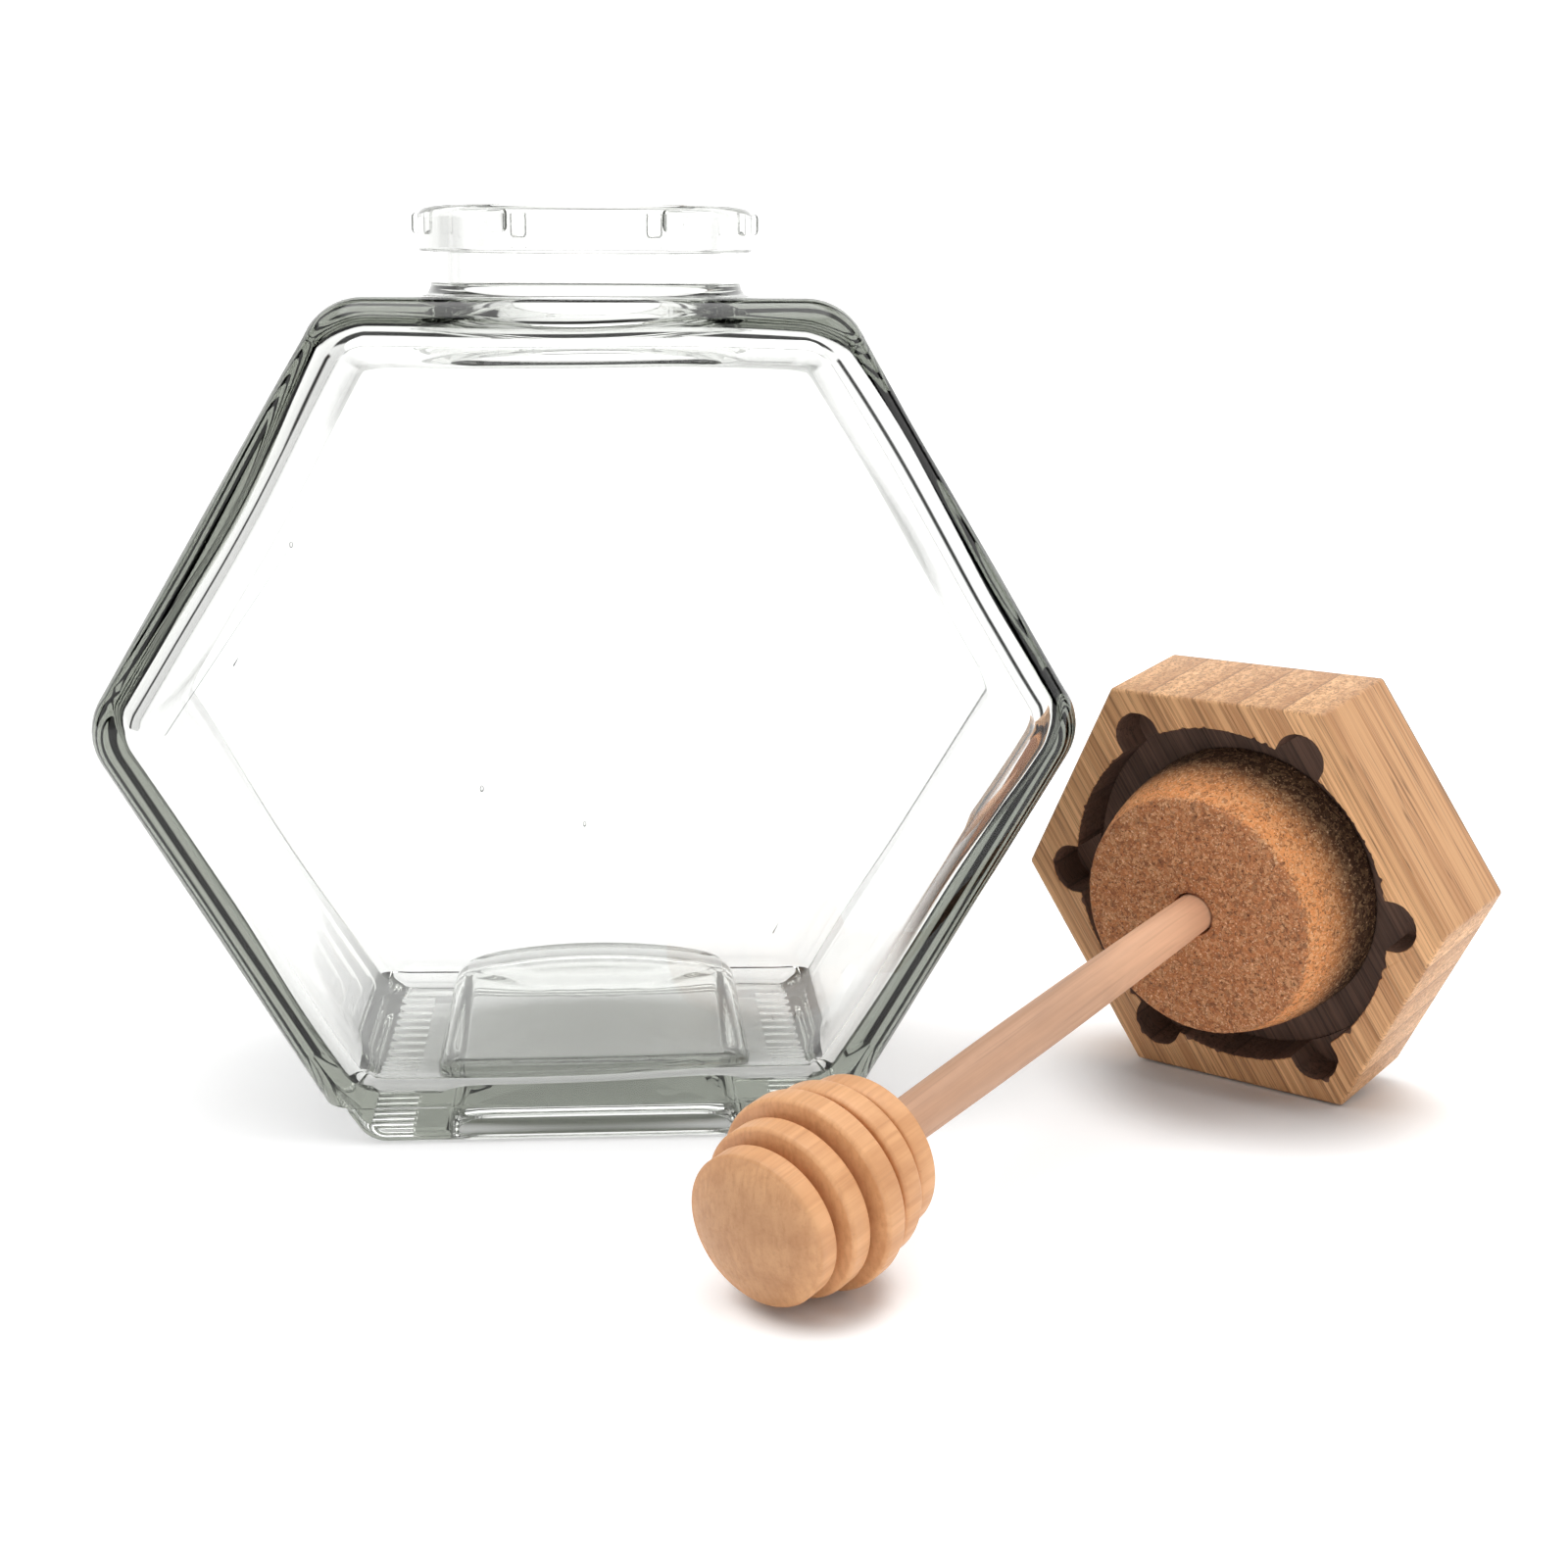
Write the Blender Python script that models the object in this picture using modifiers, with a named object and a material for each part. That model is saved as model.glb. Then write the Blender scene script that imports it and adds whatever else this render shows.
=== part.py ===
"""Flat hexagonal glass honey jar, with its wooden lid, cork and dipper laid beside it."""
import math

import bmesh
import bpy
from mathutils import Matrix, Vector

MM = 0.001
COLLECTION = "honey_jar"
# Clearance kept between pieces that touch
GAP = 0.3 * MM

# Glass body: a hexagon seen from the front, standing on one of its flat sides
JAR_WIDTH = 117.0 * MM
JAR_HEIGHT = 98.8 * MM
JAR_DEPTH = 57.0 * MM
HEX_LEAN = math.tan(math.radians(59.3))
WALL = 2.8 * MM
CORNER_RADIUS = 7.4 * MM
FACE_EDGE_RADIUS = 4.5 * MM
HOLLOW_EDGE_RADIUS = 3.0 * MM

# Foot: below the mould line the glass steps in and leans further
MOULD_LINE = 4.7 * MM
FOOT_STEP = 0.7 * MM
FOOT_WIDTH = 53.4 * MM
FOOT_LEAN = math.radians(55)
FOOT_CORNER_RADIUS = 4.0 * MM
FOOT_EDGE_RADIUS = 1.8 * MM
FOOT_FORM_TOP = 7.0 * MM
FOOT_FORM_RADIUS = 2.3 * MM

# Floor of the hollow: a domed pad over the push-up, with a channel on each side
FLOOR_HEIGHT = 5.0 * MM
FLOOR_CORNER_RADIUS = 6.0 * MM
PAD_WIDTH = 38.0 * MM
PAD_DEPTH = 46.0 * MM
PAD_HEIGHT = 8.4 * MM
PAD_CROWN = 3.6 * MM
PAD_EDGE_RADIUS = 2.2 * MM
PAD_ROOT = 1.0 * MM
PUSH_UP_WIDTH = 35.6 * MM
PUSH_UP_DEPTH = 43.0 * MM
PUSH_UP_HEIGHT = 4.0 * MM
PUSH_UP_EDGE_RADIUS = 1.4 * MM
RIDGE_PITCH = 3.3 * MM
RIDGE_COUNT = 13
RIDGE_STRIP_X = 20.9 * MM
RIDGE_STRIP_WIDTH = 4.0 * MM
RIDGE_GROOVE_DEPTH = 0.45 * MM
RIDGE_GROOVE_RADIUS = 1.0 * MM

# Neck and its six locking lugs
RIM_HEIGHT = 109.3 * MM
FLANGE_UNDERSIDE = 104.0 * MM
FLANGE_RADIUS = 20.3 * MM
NECK_RADIUS = 18.9 * MM
NECK_FOOT_RADIUS = 19.6 * MM
NECK_FLARE = 1.6 * MM
RIM_ROUND = 1.2 * MM
FLANGE_CHAMFER = 0.4 * MM
LIP_ROUND = 1.3 * MM
BORE_RADIUS = 16.6 * MM
LUG_COUNT = 6
LUG_REACH = 21.0 * MM
LUG_WIDTH = 2.8 * MM
LUG_HEIGHT = 2.6 * MM
LUG_DROP = 0.6 * MM
LUG_EDGE_RADIUS = 0.5 * MM

# Hexagonal lid, its recess for the rim and the notches for the lugs
LID_ACROSS_CORNERS = 59.8 * MM
LID_THICKNESS = 15.2 * MM
LID_EDGE_RADIUS = 0.6 * MM
RECESS_RADIUS = 22.0 * MM
RECESS_DEPTH = 6.1 * MM
NOTCH_RADIUS = 3.3 * MM
NOTCH_CENTRE = 22.5 * MM
NOTCH_DEPTH = 5.5 * MM

# Cork with a curved taper, standing in the recess; a higher swell keeps it wide for longer
CORK_BASE_RADIUS = 17.8 * MM
CORK_END_RADIUS = 15.5 * MM
CORK_STANDOFF = 7.5 * MM
CORK_SWELL = 2.2
CORK_EDGE_RADIUS = 0.5 * MM

# Dipper: a slightly swollen round stick with a barrel-shaped head of five discs
STICK_RADIUS = 2.75 * MM
STICK_END_RADIUS = 2.5 * MM
STICK_SOCKET = 5.0 * MM
STICK_OFFSET = Vector((-0.2, 0.5, 0.0)) * MM
FIRST_DISC = 84.4 * MM
DISC_PITCH = 4.0 * MM
DISC_WIDTH = 2.85 * MM
DISC_RADII = [radius * MM for radius in (8.4, 9.4, 10.7, 9.9, 8.75)]
GROOVE_DEPTH = 3.4 * MM
DISC_EDGE_RADIUS = 0.45 * MM
DOME_RISE = 2.0 * MM
BACK_TAPER = 0.9 * MM
BACK_COLLAR = 1.2 * MM

# How the lid lies: on one flat side, open face to the front left, tipped onto the dipper's head
LID_PLACE = Vector((78.8, -14.1)) * MM
LID_HEADING = math.radians(-44.8)
LID_TIP = math.radians(10.45)
DIPPER_TURN = math.radians(1.65)

# How far a cutter runs past the surface that it opens
OVERCUT = 2.0 * MM

ROUND_STEPS = 48
ROD_STEPS = 24
RECESS_STEPS = 64
HEAD_STEPS = 40
SWELL_STEPS = 6
CORNER_STEPS = 4


def clear_scene():
    for item in list(bpy.data.objects):
        bpy.data.objects.remove(item, do_unlink=True)


def make_collection(name):
    collection = bpy.data.collections.new(name)
    bpy.context.scene.collection.children.link(collection)
    return collection


def make_material(name, colour, roughness, transmission=0.0):
    material = bpy.data.materials.new(name)
    material.use_nodes = True
    shader = material.node_tree.nodes["Principled BSDF"]
    shader.inputs["Base Color"].default_value = (*colour, 1.0)
    shader.inputs["Roughness"].default_value = roughness
    shader.inputs["Metallic"].default_value = 0.0
    shader.inputs["Transmission Weight"].default_value = transmission
    material.diffuse_color = (*colour, 1.0)
    return material


def finish_mesh(bm, name, collection, material=None, smooth_angle=40):
    """Turn a bmesh into an object of its own."""
    mesh = bpy.data.meshes.new(name)
    bm.normal_update()
    bm.to_mesh(mesh)
    bm.free()
    mesh.shade_smooth()
    mesh.set_sharp_from_angle(angle=math.radians(smooth_angle))
    item = bpy.data.objects.new(name, mesh)
    collection.objects.link(item)
    if material:
        mesh.materials.append(material)
    return item


def hide_cutter(item):
    item.hide_render = True
    item.display_type = "WIRE"
    return item


def combine(target, tool, operation):
    """Join or cut the target with a helper solid."""
    modifier = target.modifiers.new(f"{operation.lower()} {tool.name}", "BOOLEAN")
    modifier.operation = operation
    modifier.object = tool
    modifier.solver = "EXACT"


def turned(name, outline, collection, material=None, steps=ROUND_STEPS):
    """Solid of revolution about Z from an outline of (radius, height), top to bottom."""
    mesh = bpy.data.meshes.new(name)
    points = [(radius, 0.0, height) for radius, height in outline]
    mesh.from_pydata(points, [(i, i + 1) for i in range(len(points) - 1)], [])
    item = bpy.data.objects.new(name, mesh)
    collection.objects.link(item)
    screw = item.modifiers.new("turn", "SCREW")
    screw.steps = steps
    screw.render_steps = steps
    screw.use_merge_vertices = True
    screw.merge_threshold = 0.00001
    screw.use_smooth_shade = True
    if material:
        mesh.materials.append(material)
    return item


def arc(centre, radius, start, end, steps):
    """Points of an arc in the (radius, height) plane, angles in degrees."""
    angles = [math.radians(start + (end - start) * i / steps) for i in range(steps + 1)]
    return [(centre[0] + radius * math.cos(a), centre[1] + radius * math.sin(a)) for a in angles]


def rounded_outline(right):
    """Closed outline with round corners, from the right-hand corners as (x, z, radius), upwards."""
    corners = [(Vector((x, z)), radius) for x, z, radius in right]
    corners += [(Vector((-corner.x, corner.y)), radius) for corner, radius in reversed(corners)]
    points = []
    for i, (corner, radius) in enumerate(corners):
        before = (corners[i - 1][0] - corner).normalized()
        after = (corners[(i + 1) % len(corners)][0] - corner).normalized()
        half_angle = before.angle(after) / 2
        centre = corner + (before + after).normalized() * radius / math.sin(half_angle)
        start = corner + before * radius / math.tan(half_angle) - centre
        turn = math.pi - 2 * half_angle
        for step in range(CORNER_STEPS + 1):
            points.append(centre + Matrix.Rotation(turn * step / CORNER_STEPS, 2) @ start)
    return points


def hexagon_outline(half_width, bottom, top, foot_radius, radius):
    """Outline of the body or its hollow, cut level at the bottom and the top."""
    middle = JAR_HEIGHT / 2
    foot_x = half_width - (middle - bottom) / HEX_LEAN
    top_x = half_width - (top - middle) / HEX_LEAN
    return rounded_outline([(foot_x, bottom, foot_radius), (half_width, middle, radius),
                            (top_x, top, radius)])


def slab(name, outline, depth, edge_radius, collection):
    """Flat outline in the XZ plane given a depth along Y and rounded edges, as a closed mesh."""
    curve = bpy.data.curves.new(name, "CURVE")
    curve.dimensions = "2D"
    curve.fill_mode = "BOTH"
    curve.extrude = depth / 2 - edge_radius
    curve.bevel_depth = edge_radius
    curve.offset = -edge_radius
    curve.bevel_resolution = 2
    spline = curve.splines.new("POLY")
    spline.points.add(len(outline) - 1)
    for point, place in zip(spline.points, outline):
        point.co = (place.x, place.y, 0, 1)
    spline.use_cyclic_u = True
    drawn = bpy.data.objects.new(f"{name}_outline", curve)
    collection.objects.link(drawn)
    depsgraph = bpy.context.evaluated_depsgraph_get()
    mesh = bpy.data.meshes.new_from_object(drawn.evaluated_get(depsgraph))
    bpy.data.objects.remove(drawn)
    bm = bmesh.new()
    bm.from_mesh(mesh)
    bpy.data.meshes.remove(mesh)
    bmesh.ops.remove_doubles(bm, verts=bm.verts, dist=0.001 * MM)
    bmesh.ops.rotate(bm, verts=bm.verts, matrix=Matrix.Rotation(math.pi / 2, 3, "X"))
    bmesh.ops.recalc_face_normals(bm, faces=bm.faces)
    return bm


def domed_block(width, depth, bottom, top, crown, edge_radius, cells=12):
    """Block with a domed top and a rounded edge around it."""
    bm = bmesh.new()
    bmesh.ops.create_grid(bm, x_segments=cells, y_segments=cells, size=0.5)
    for vertex in bm.verts:
        across, along = 2 * vertex.co.x, 2 * vertex.co.y
        x, y = width / 2 * math.sin(across * math.pi / 2), depth / 2 * math.sin(along * math.pi / 2)
        rise = crown * (1 - (2 * x / width) ** 2) * (1 - (2 * y / depth) ** 2)
        inside = min(width / 2 - abs(x), depth / 2 - abs(y), edge_radius)
        drop = edge_radius - math.sqrt(edge_radius ** 2 - (edge_radius - inside) ** 2)
        vertex.co = (x, y, top + rise - drop)
    extruded = bmesh.ops.extrude_face_region(bm, geom=bm.faces[:])
    lowered = [v for v in extruded["geom"] if isinstance(v, bmesh.types.BMVert)]
    for vertex in lowered:
        vertex.co.z = bottom
    bmesh.ops.dissolve_faces(bm, faces=[f for f in bm.faces if all(v in lowered for v in f.verts)])
    bmesh.ops.recalc_face_normals(bm, faces=bm.faces)
    return bm


def ridge_grooves():
    """Small round grooves that leave a strip of cross ridges on each side of the foot."""
    bm = bmesh.new()
    drop = RIDGE_GROOVE_RADIUS - RIDGE_GROOVE_DEPTH
    lying = Matrix.Rotation(math.pi / 2, 4, "Y")
    for side in (-1, 1):
        for i in range(RIDGE_COUNT):
            along = (i - (RIDGE_COUNT - 1) / 2) * RIDGE_PITCH
            place = Matrix.Translation((side * RIDGE_STRIP_X, along, -drop))
            bmesh.ops.create_cone(bm, cap_ends=True, segments=12, radius1=RIDGE_GROOVE_RADIUS,
                                  radius2=RIDGE_GROOVE_RADIUS, depth=RIDGE_STRIP_WIDTH,
                                  matrix=place @ lying)
    return bm


def neck_lugs():
    """Six small rounded lugs just under the rim."""
    bm = bmesh.new()
    length = LUG_REACH - FLANGE_RADIUS + OVERCUT
    middle = RIM_HEIGHT - LUG_DROP - LUG_HEIGHT / 2
    for i in range(LUG_COUNT):
        turn = Matrix.Rotation(math.radians(60 * i), 4, "Z")
        shift = Matrix.Translation((LUG_REACH - length / 2, 0, middle))
        size = Matrix.Diagonal((length, LUG_WIDTH, LUG_HEIGHT, 1))
        bmesh.ops.create_cube(bm, size=1, matrix=turn @ shift @ size)
    bmesh.ops.bevel(bm, geom=list(bm.edges), offset=LUG_EDGE_RADIUS, segments=2, profile=0.5,
                    affect="EDGES")
    return bm


def neck_outline():
    """Outside of the neck: rounded rim, flange, waist and the flare where it meets the body."""
    rim = arc((FLANGE_RADIUS - RIM_ROUND, RIM_HEIGHT - RIM_ROUND), RIM_ROUND, 90, 0, 4)
    underside = [(FLANGE_RADIUS, FLANGE_UNDERSIDE + FLANGE_CHAMFER),
                 (FLANGE_RADIUS - FLANGE_CHAMFER, FLANGE_UNDERSIDE),
                 (NECK_RADIUS, FLANGE_UNDERSIDE)]
    waist = arc((NECK_RADIUS + NECK_FLARE, JAR_HEIGHT + NECK_FLARE), NECK_FLARE, 180, 240, 3)
    root = JAR_HEIGHT - WALL / 2
    return [(0, RIM_HEIGHT)] + rim + underside + waist + [(NECK_FOOT_RADIUS, root), (0, root)]


def bore_outline():
    """Bore of the neck, with a rounded lip, reaching down into the body's hollow."""
    above = RIM_HEIGHT + OVERCUT
    below = JAR_HEIGHT - WALL - OVERCUT
    lip = arc((BORE_RADIUS + LIP_ROUND, RIM_HEIGHT - LIP_ROUND), LIP_ROUND, 125, 180, 3)
    return [(0, above), (BORE_RADIUS + LIP_ROUND, above)] + lip + [(BORE_RADIUS, below), (0, below)]


def make_jar(parts, cutters):
    glass = make_material("clear_glass", (0.93, 0.96, 0.94), 0.03, transmission=1.0)
    half = JAR_WIDTH / 2
    outline = hexagon_outline(half, 0, JAR_HEIGHT, CORNER_RADIUS, CORNER_RADIUS)
    body = slab("body", outline, JAR_DEPTH, FACE_EDGE_RADIUS, parts)
    cut = bmesh.ops.bisect_plane(body, geom=body.verts[:] + body.edges[:] + body.faces[:],
                                 plane_co=(0, 0, MOULD_LINE), plane_no=(0, 0, -1), clear_outer=True)
    bmesh.ops.edgeloop_fill(body, edges=[e for e in cut["geom_cut"] if isinstance(e, bmesh.types.BMEdge)])
    bmesh.ops.recalc_face_normals(body, faces=body.faces)
    jar = finish_mesh(body, "jar", parts, glass)

    foot_top_x = FOOT_WIDTH / 2 + FOOT_FORM_TOP / math.tan(FOOT_LEAN)
    outline = rounded_outline([(FOOT_WIDTH / 2, 0, FOOT_CORNER_RADIUS),
                               (foot_top_x, FOOT_FORM_TOP, FOOT_FORM_RADIUS)])
    foot = slab("foot", outline, JAR_DEPTH - 2 * FOOT_STEP, FOOT_EDGE_RADIUS, cutters)
    foot = hide_cutter(finish_mesh(foot, "foot_form", cutters))
    neck = hide_cutter(turned("neck_form", neck_outline(), cutters))
    lugs = hide_cutter(finish_mesh(neck_lugs(), "lug_forms", cutters))

    outline = hexagon_outline(half - WALL / math.cos(math.pi / 6), FLOOR_HEIGHT, JAR_HEIGHT - WALL,
                              FLOOR_CORNER_RADIUS, CORNER_RADIUS - WALL)
    hollow = slab("hollow", outline, JAR_DEPTH - 2 * WALL, HOLLOW_EDGE_RADIUS, cutters)
    hollow = hide_cutter(finish_mesh(hollow, "hollow", cutters))
    bore = hide_cutter(turned("bore", bore_outline(), cutters))
    pad = domed_block(PAD_WIDTH, PAD_DEPTH, FLOOR_HEIGHT - PAD_ROOT, PAD_HEIGHT, PAD_CROWN, PAD_EDGE_RADIUS)
    pad = hide_cutter(finish_mesh(pad, "floor_pad", cutters))
    push_up = domed_block(PUSH_UP_WIDTH, PUSH_UP_DEPTH, -OVERCUT, PUSH_UP_HEIGHT, PAD_CROWN,
                          PUSH_UP_EDGE_RADIUS)
    push_up = hide_cutter(finish_mesh(push_up, "push_up", cutters))
    grooves = hide_cutter(finish_mesh(ridge_grooves(), "foot_grooves", cutters))
    for tool, operation in ((foot, "UNION"), (hollow, "DIFFERENCE"), (pad, "UNION"),
                            (push_up, "DIFFERENCE"), (grooves, "DIFFERENCE"), (neck, "UNION"),
                            (lugs, "UNION"), (bore, "DIFFERENCE")):
        combine(jar, tool, operation)
    return jar


def cylinder(radius, bottom, top, steps=ROUND_STEPS, centres=((0, 0),)):
    """Upright cylinders between two heights, one for each centre."""
    bm = bmesh.new()
    for x, y in centres:
        place = Matrix.Translation((x, y, (bottom + top) / 2))
        bmesh.ops.create_cone(bm, cap_ends=True, segments=steps, radius1=radius, radius2=radius,
                              depth=top - bottom, matrix=place)
    return bm


def make_lid(parts, cutters, frame):
    bamboo = make_material("laminated_bamboo", (0.56, 0.36, 0.19), 0.55)
    bm = bmesh.new()
    place = Matrix.Translation((0, 0, -LID_THICKNESS / 2)) @ Matrix.Rotation(math.pi / 6, 4, "Z")
    bmesh.ops.create_cone(bm, cap_ends=True, segments=6, radius1=LID_ACROSS_CORNERS / 2,
                          radius2=LID_ACROSS_CORNERS / 2, depth=LID_THICKNESS, matrix=place)
    bmesh.ops.bevel(bm, geom=list(bm.edges), offset=LID_EDGE_RADIUS, segments=2, profile=0.5,
                    affect="EDGES")
    lid = finish_mesh(bm, "lid", parts, bamboo)

    recess = cylinder(RECESS_RADIUS, -RECESS_DEPTH, OVERCUT, RECESS_STEPS)
    recess = hide_cutter(finish_mesh(recess, "recess", cutters))
    angles = [math.radians(60 * i) for i in range(LUG_COUNT)]
    centres = [(NOTCH_CENTRE * math.cos(a), NOTCH_CENTRE * math.sin(a)) for a in angles]
    notches = cylinder(NOTCH_RADIUS, -NOTCH_DEPTH, OVERCUT, ROD_STEPS, centres)
    notches = hide_cutter(finish_mesh(notches, "notches", cutters))
    for tool in (recess, notches):
        combine(lid, tool, "DIFFERENCE")
        tool.parent = frame
    lid.parent = frame
    return lid


def cork_outline():
    """Cork from its open end down to the floor of the recess."""
    base = GAP - RECESS_DEPTH
    side_top = CORK_STANDOFF - CORK_EDGE_RADIUS
    taper = CORK_BASE_RADIUS - CORK_END_RADIUS
    centre = (CORK_END_RADIUS - CORK_EDGE_RADIUS, side_top)
    points = [(0, CORK_STANDOFF)] + arc(centre, CORK_EDGE_RADIUS, 90, 0, 3)
    for i in range(1, CORNER_STEPS + 1):
        fall = 1 - i / CORNER_STEPS
        points.append((CORK_BASE_RADIUS - taper * fall ** CORK_SWELL, base + (side_top - base) * fall))
    return points + [(0, base)]


def make_cork(parts, cutters, frame, dipper_frame):
    cork_material = make_material("pressed_cork", (0.42, 0.22, 0.11), 0.85)
    cork = turned("cork", cork_outline(), parts, cork_material)
    cork.parent = frame

    socket = cylinder(STICK_END_RADIUS + GAP, -STICK_SOCKET, OVERCUT, ROD_STEPS)
    socket = hide_cutter(finish_mesh(socket, "cork_socket", cutters))
    socket.parent = dipper_frame
    combine(cork, socket, "DIFFERENCE")
    return cork


def head_back():
    """Distance from the cork's end to the flat back of the head's last disc."""
    return FIRST_DISC - (len(DISC_RADII) - 1) * DISC_PITCH - DISC_WIDTH / 2


def head_outline():
    """Dipper head from its domed tip back to the stick, as discs with grooves between them."""
    half = DISC_WIDTH / 2
    edge = DISC_EDGE_RADIUS
    cap_radius = DISC_RADII[0] - edge
    dome_radius = (cap_radius ** 2 + DOME_RISE ** 2) / (2 * DOME_RISE)
    spread = math.degrees(math.asin(cap_radius / dome_radius))
    points = arc((0, FIRST_DISC + half + DOME_RISE - dome_radius), dome_radius, 90, 90 - spread, 5)
    for i, radius in enumerate(DISC_RADII):
        centre = FIRST_DISC - i * DISC_PITCH
        core = radius - GROOVE_DEPTH
        if i == 0:
            points.append((radius, centre + half - edge))
        else:
            points.append((core, centre + half))
            points += arc((radius - edge, centre + half - edge), edge, 90, 0, 2)
        points += arc((radius - edge, centre - half + edge), edge, 0, -90, 2)
        if i < len(DISC_RADII) - 1:
            points.append((core, centre - half))
    back = head_back() - BACK_TAPER
    return points + [(STICK_RADIUS + BACK_COLLAR, back), (0, back)]


def stick_outline():
    """Stick from inside the head to inside the cork, swollen between the two sockets."""
    shown = head_back() - BACK_TAPER
    points = [(0, head_back() + STICK_SOCKET - GAP), (STICK_END_RADIUS, head_back() + STICK_SOCKET - GAP)]
    for i in range(SWELL_STEPS + 1):
        along = 1 - i / SWELL_STEPS
        swell = (STICK_RADIUS - STICK_END_RADIUS) * math.sin(math.pi * along)
        points.append((STICK_END_RADIUS + swell, shown * along))
    return points + [(STICK_END_RADIUS, GAP - STICK_SOCKET), (0, GAP - STICK_SOCKET)]


def make_dipper(parts, cutters, dipper_frame):
    stick_wood = make_material("pale_stick_wood", (0.74, 0.50, 0.36), 0.6)
    head_wood = make_material("turned_beech", (0.66, 0.41, 0.22), 0.55)
    socket_end = head_back() + STICK_SOCKET
    head = turned("dipper_head", head_outline(), parts, head_wood, HEAD_STEPS)
    socket = cylinder(STICK_END_RADIUS + GAP, head_back() - OVERCUT, socket_end, ROD_STEPS)
    socket = hide_cutter(finish_mesh(socket, "head_socket", cutters))
    combine(head, socket, "DIFFERENCE")
    stick = turned("dipper_stick", stick_outline(), parts, stick_wood, ROD_STEPS)
    for item in (head, socket, stick):
        item.parent = dipper_frame
    return head, stick


def make_frames(collection):
    """Empties for the lid's open face and for the dipper's axis, under one for the whole set."""
    whole = bpy.data.objects.new("set_frame", None)
    lid_frame = bpy.data.objects.new("lid_frame", None)
    dipper_frame = bpy.data.objects.new("dipper_frame", None)
    for empty in (whole, lid_frame, dipper_frame):
        collection.objects.link(empty)
    across_flats = LID_ACROSS_CORNERS * math.cos(math.pi / 6)
    lid_frame.location = (*LID_PLACE, across_flats / 2 * math.cos(LID_TIP))
    lid_frame.rotation_euler = (math.pi / 2 + LID_TIP, 0, LID_HEADING)
    dipper_frame.location = STICK_OFFSET + Vector((0, 0, CORK_STANDOFF))
    dipper_frame.rotation_euler = (0, DIPPER_TURN, 0)
    dipper_frame.parent = lid_frame
    lid_frame.parent = whole
    return whole, lid_frame, dipper_frame


def world_bounds(items):
    """Smallest and largest corner of the finished meshes."""
    depsgraph = bpy.context.evaluated_depsgraph_get()
    points = []
    for item in items:
        seen = item.evaluated_get(depsgraph)
        points += [seen.matrix_world @ vertex.co for vertex in seen.to_mesh().vertices]
        seen.to_mesh_clear()
    low = Vector(min(point[axis] for point in points) for axis in range(3))
    high = Vector(max(point[axis] for point in points) for axis in range(3))
    return low, high


def main():
    clear_scene()
    parts = make_collection(COLLECTION)
    cutters = make_collection("cutters")
    whole, lid_frame, dipper_frame = make_frames(parts)
    jar = make_jar(parts, cutters)
    lid = make_lid(parts, cutters, lid_frame)
    cork = make_cork(parts, cutters, lid_frame, dipper_frame)
    pieces = [jar, lid, cork, *make_dipper(parts, cutters, dipper_frame)]
    for item in [jar, *cutters.objects]:
        if item.parent is None:
            item.parent = whole
    bpy.context.view_layer.update()
    low, high = world_bounds(pieces)
    whole.location = (-(low.x + high.x) / 2, -(low.y + high.y) / 2, -low.z)


main()
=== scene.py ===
"""Flat hexagonal glass honey jar, with its bamboo lid, cork and wooden dipper laid beside it.

Laid out as a Blender add-on and run as a script. The sizes repeat the driving dimensions of the
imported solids, and every place is worked out from the boxes of the frame's nodes.
"""
import math

import bmesh
import bpy
from bpy.props import FloatProperty, FloatVectorProperty, PointerProperty
from bpy.types import Operator, Panel, PropertyGroup
from mathutils import Euler, Matrix, Vector, noise


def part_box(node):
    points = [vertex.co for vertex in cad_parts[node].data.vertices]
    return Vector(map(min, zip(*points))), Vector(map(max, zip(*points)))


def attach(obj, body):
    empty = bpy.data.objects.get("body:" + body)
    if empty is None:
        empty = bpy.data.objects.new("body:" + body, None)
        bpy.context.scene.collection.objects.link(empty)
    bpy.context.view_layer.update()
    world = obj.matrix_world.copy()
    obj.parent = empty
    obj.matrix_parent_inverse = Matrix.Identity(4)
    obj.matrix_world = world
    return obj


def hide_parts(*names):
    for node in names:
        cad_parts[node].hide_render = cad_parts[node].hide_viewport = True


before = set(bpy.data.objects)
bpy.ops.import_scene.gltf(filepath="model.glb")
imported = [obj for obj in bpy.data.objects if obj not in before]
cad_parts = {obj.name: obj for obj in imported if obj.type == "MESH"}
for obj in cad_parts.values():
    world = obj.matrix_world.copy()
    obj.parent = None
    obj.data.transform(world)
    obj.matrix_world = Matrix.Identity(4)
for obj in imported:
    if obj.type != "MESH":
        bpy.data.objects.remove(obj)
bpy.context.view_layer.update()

bl_info = {
    "name": "Hexagonal Honey Jar",
    "version": (1, 0, 0),
    "blender": (4, 5, 0),
    "location": "3D View > Sidebar > Honey Jar",
    "description": "Builds a glass honey jar with its bamboo lid, cork and wooden dipper",
    "category": "Object",
}

MM = 0.001
BODY = "root"

# Glass body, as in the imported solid
JAR_HEIGHT = 98.8 * MM
HALF_WIDTH = 58.5 * MM
JAR_DEPTH = 57.0 * MM
HEX_LEAN = math.tan(math.radians(59.3))
CORNER_RADIUS = 7.4 * MM
MOULD_LINE = 4.7 * MM
FOOT_STEP = 0.7 * MM
FOOT_WIDTH = 53.4 * MM
FOOT_LEAN = math.radians(55)
FOOT_CORNER_RADIUS = 4.0 * MM
FOOT_EDGE_RADIUS = 1.8 * MM
FOOT_FORM_TOP = 7.0 * MM
FOOT_FORM_RADIUS = 2.3 * MM
RIM_HEIGHT = 109.3 * MM
FLANGE_UNDERSIDE = 104.0 * MM
FLANGE_RADIUS = 20.3 * MM
NECK_RADIUS = 18.9 * MM
BORE_RADIUS = 16.6 * MM
LUG_REACH = 21.0 * MM
LUG_COUNT = 6

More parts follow.
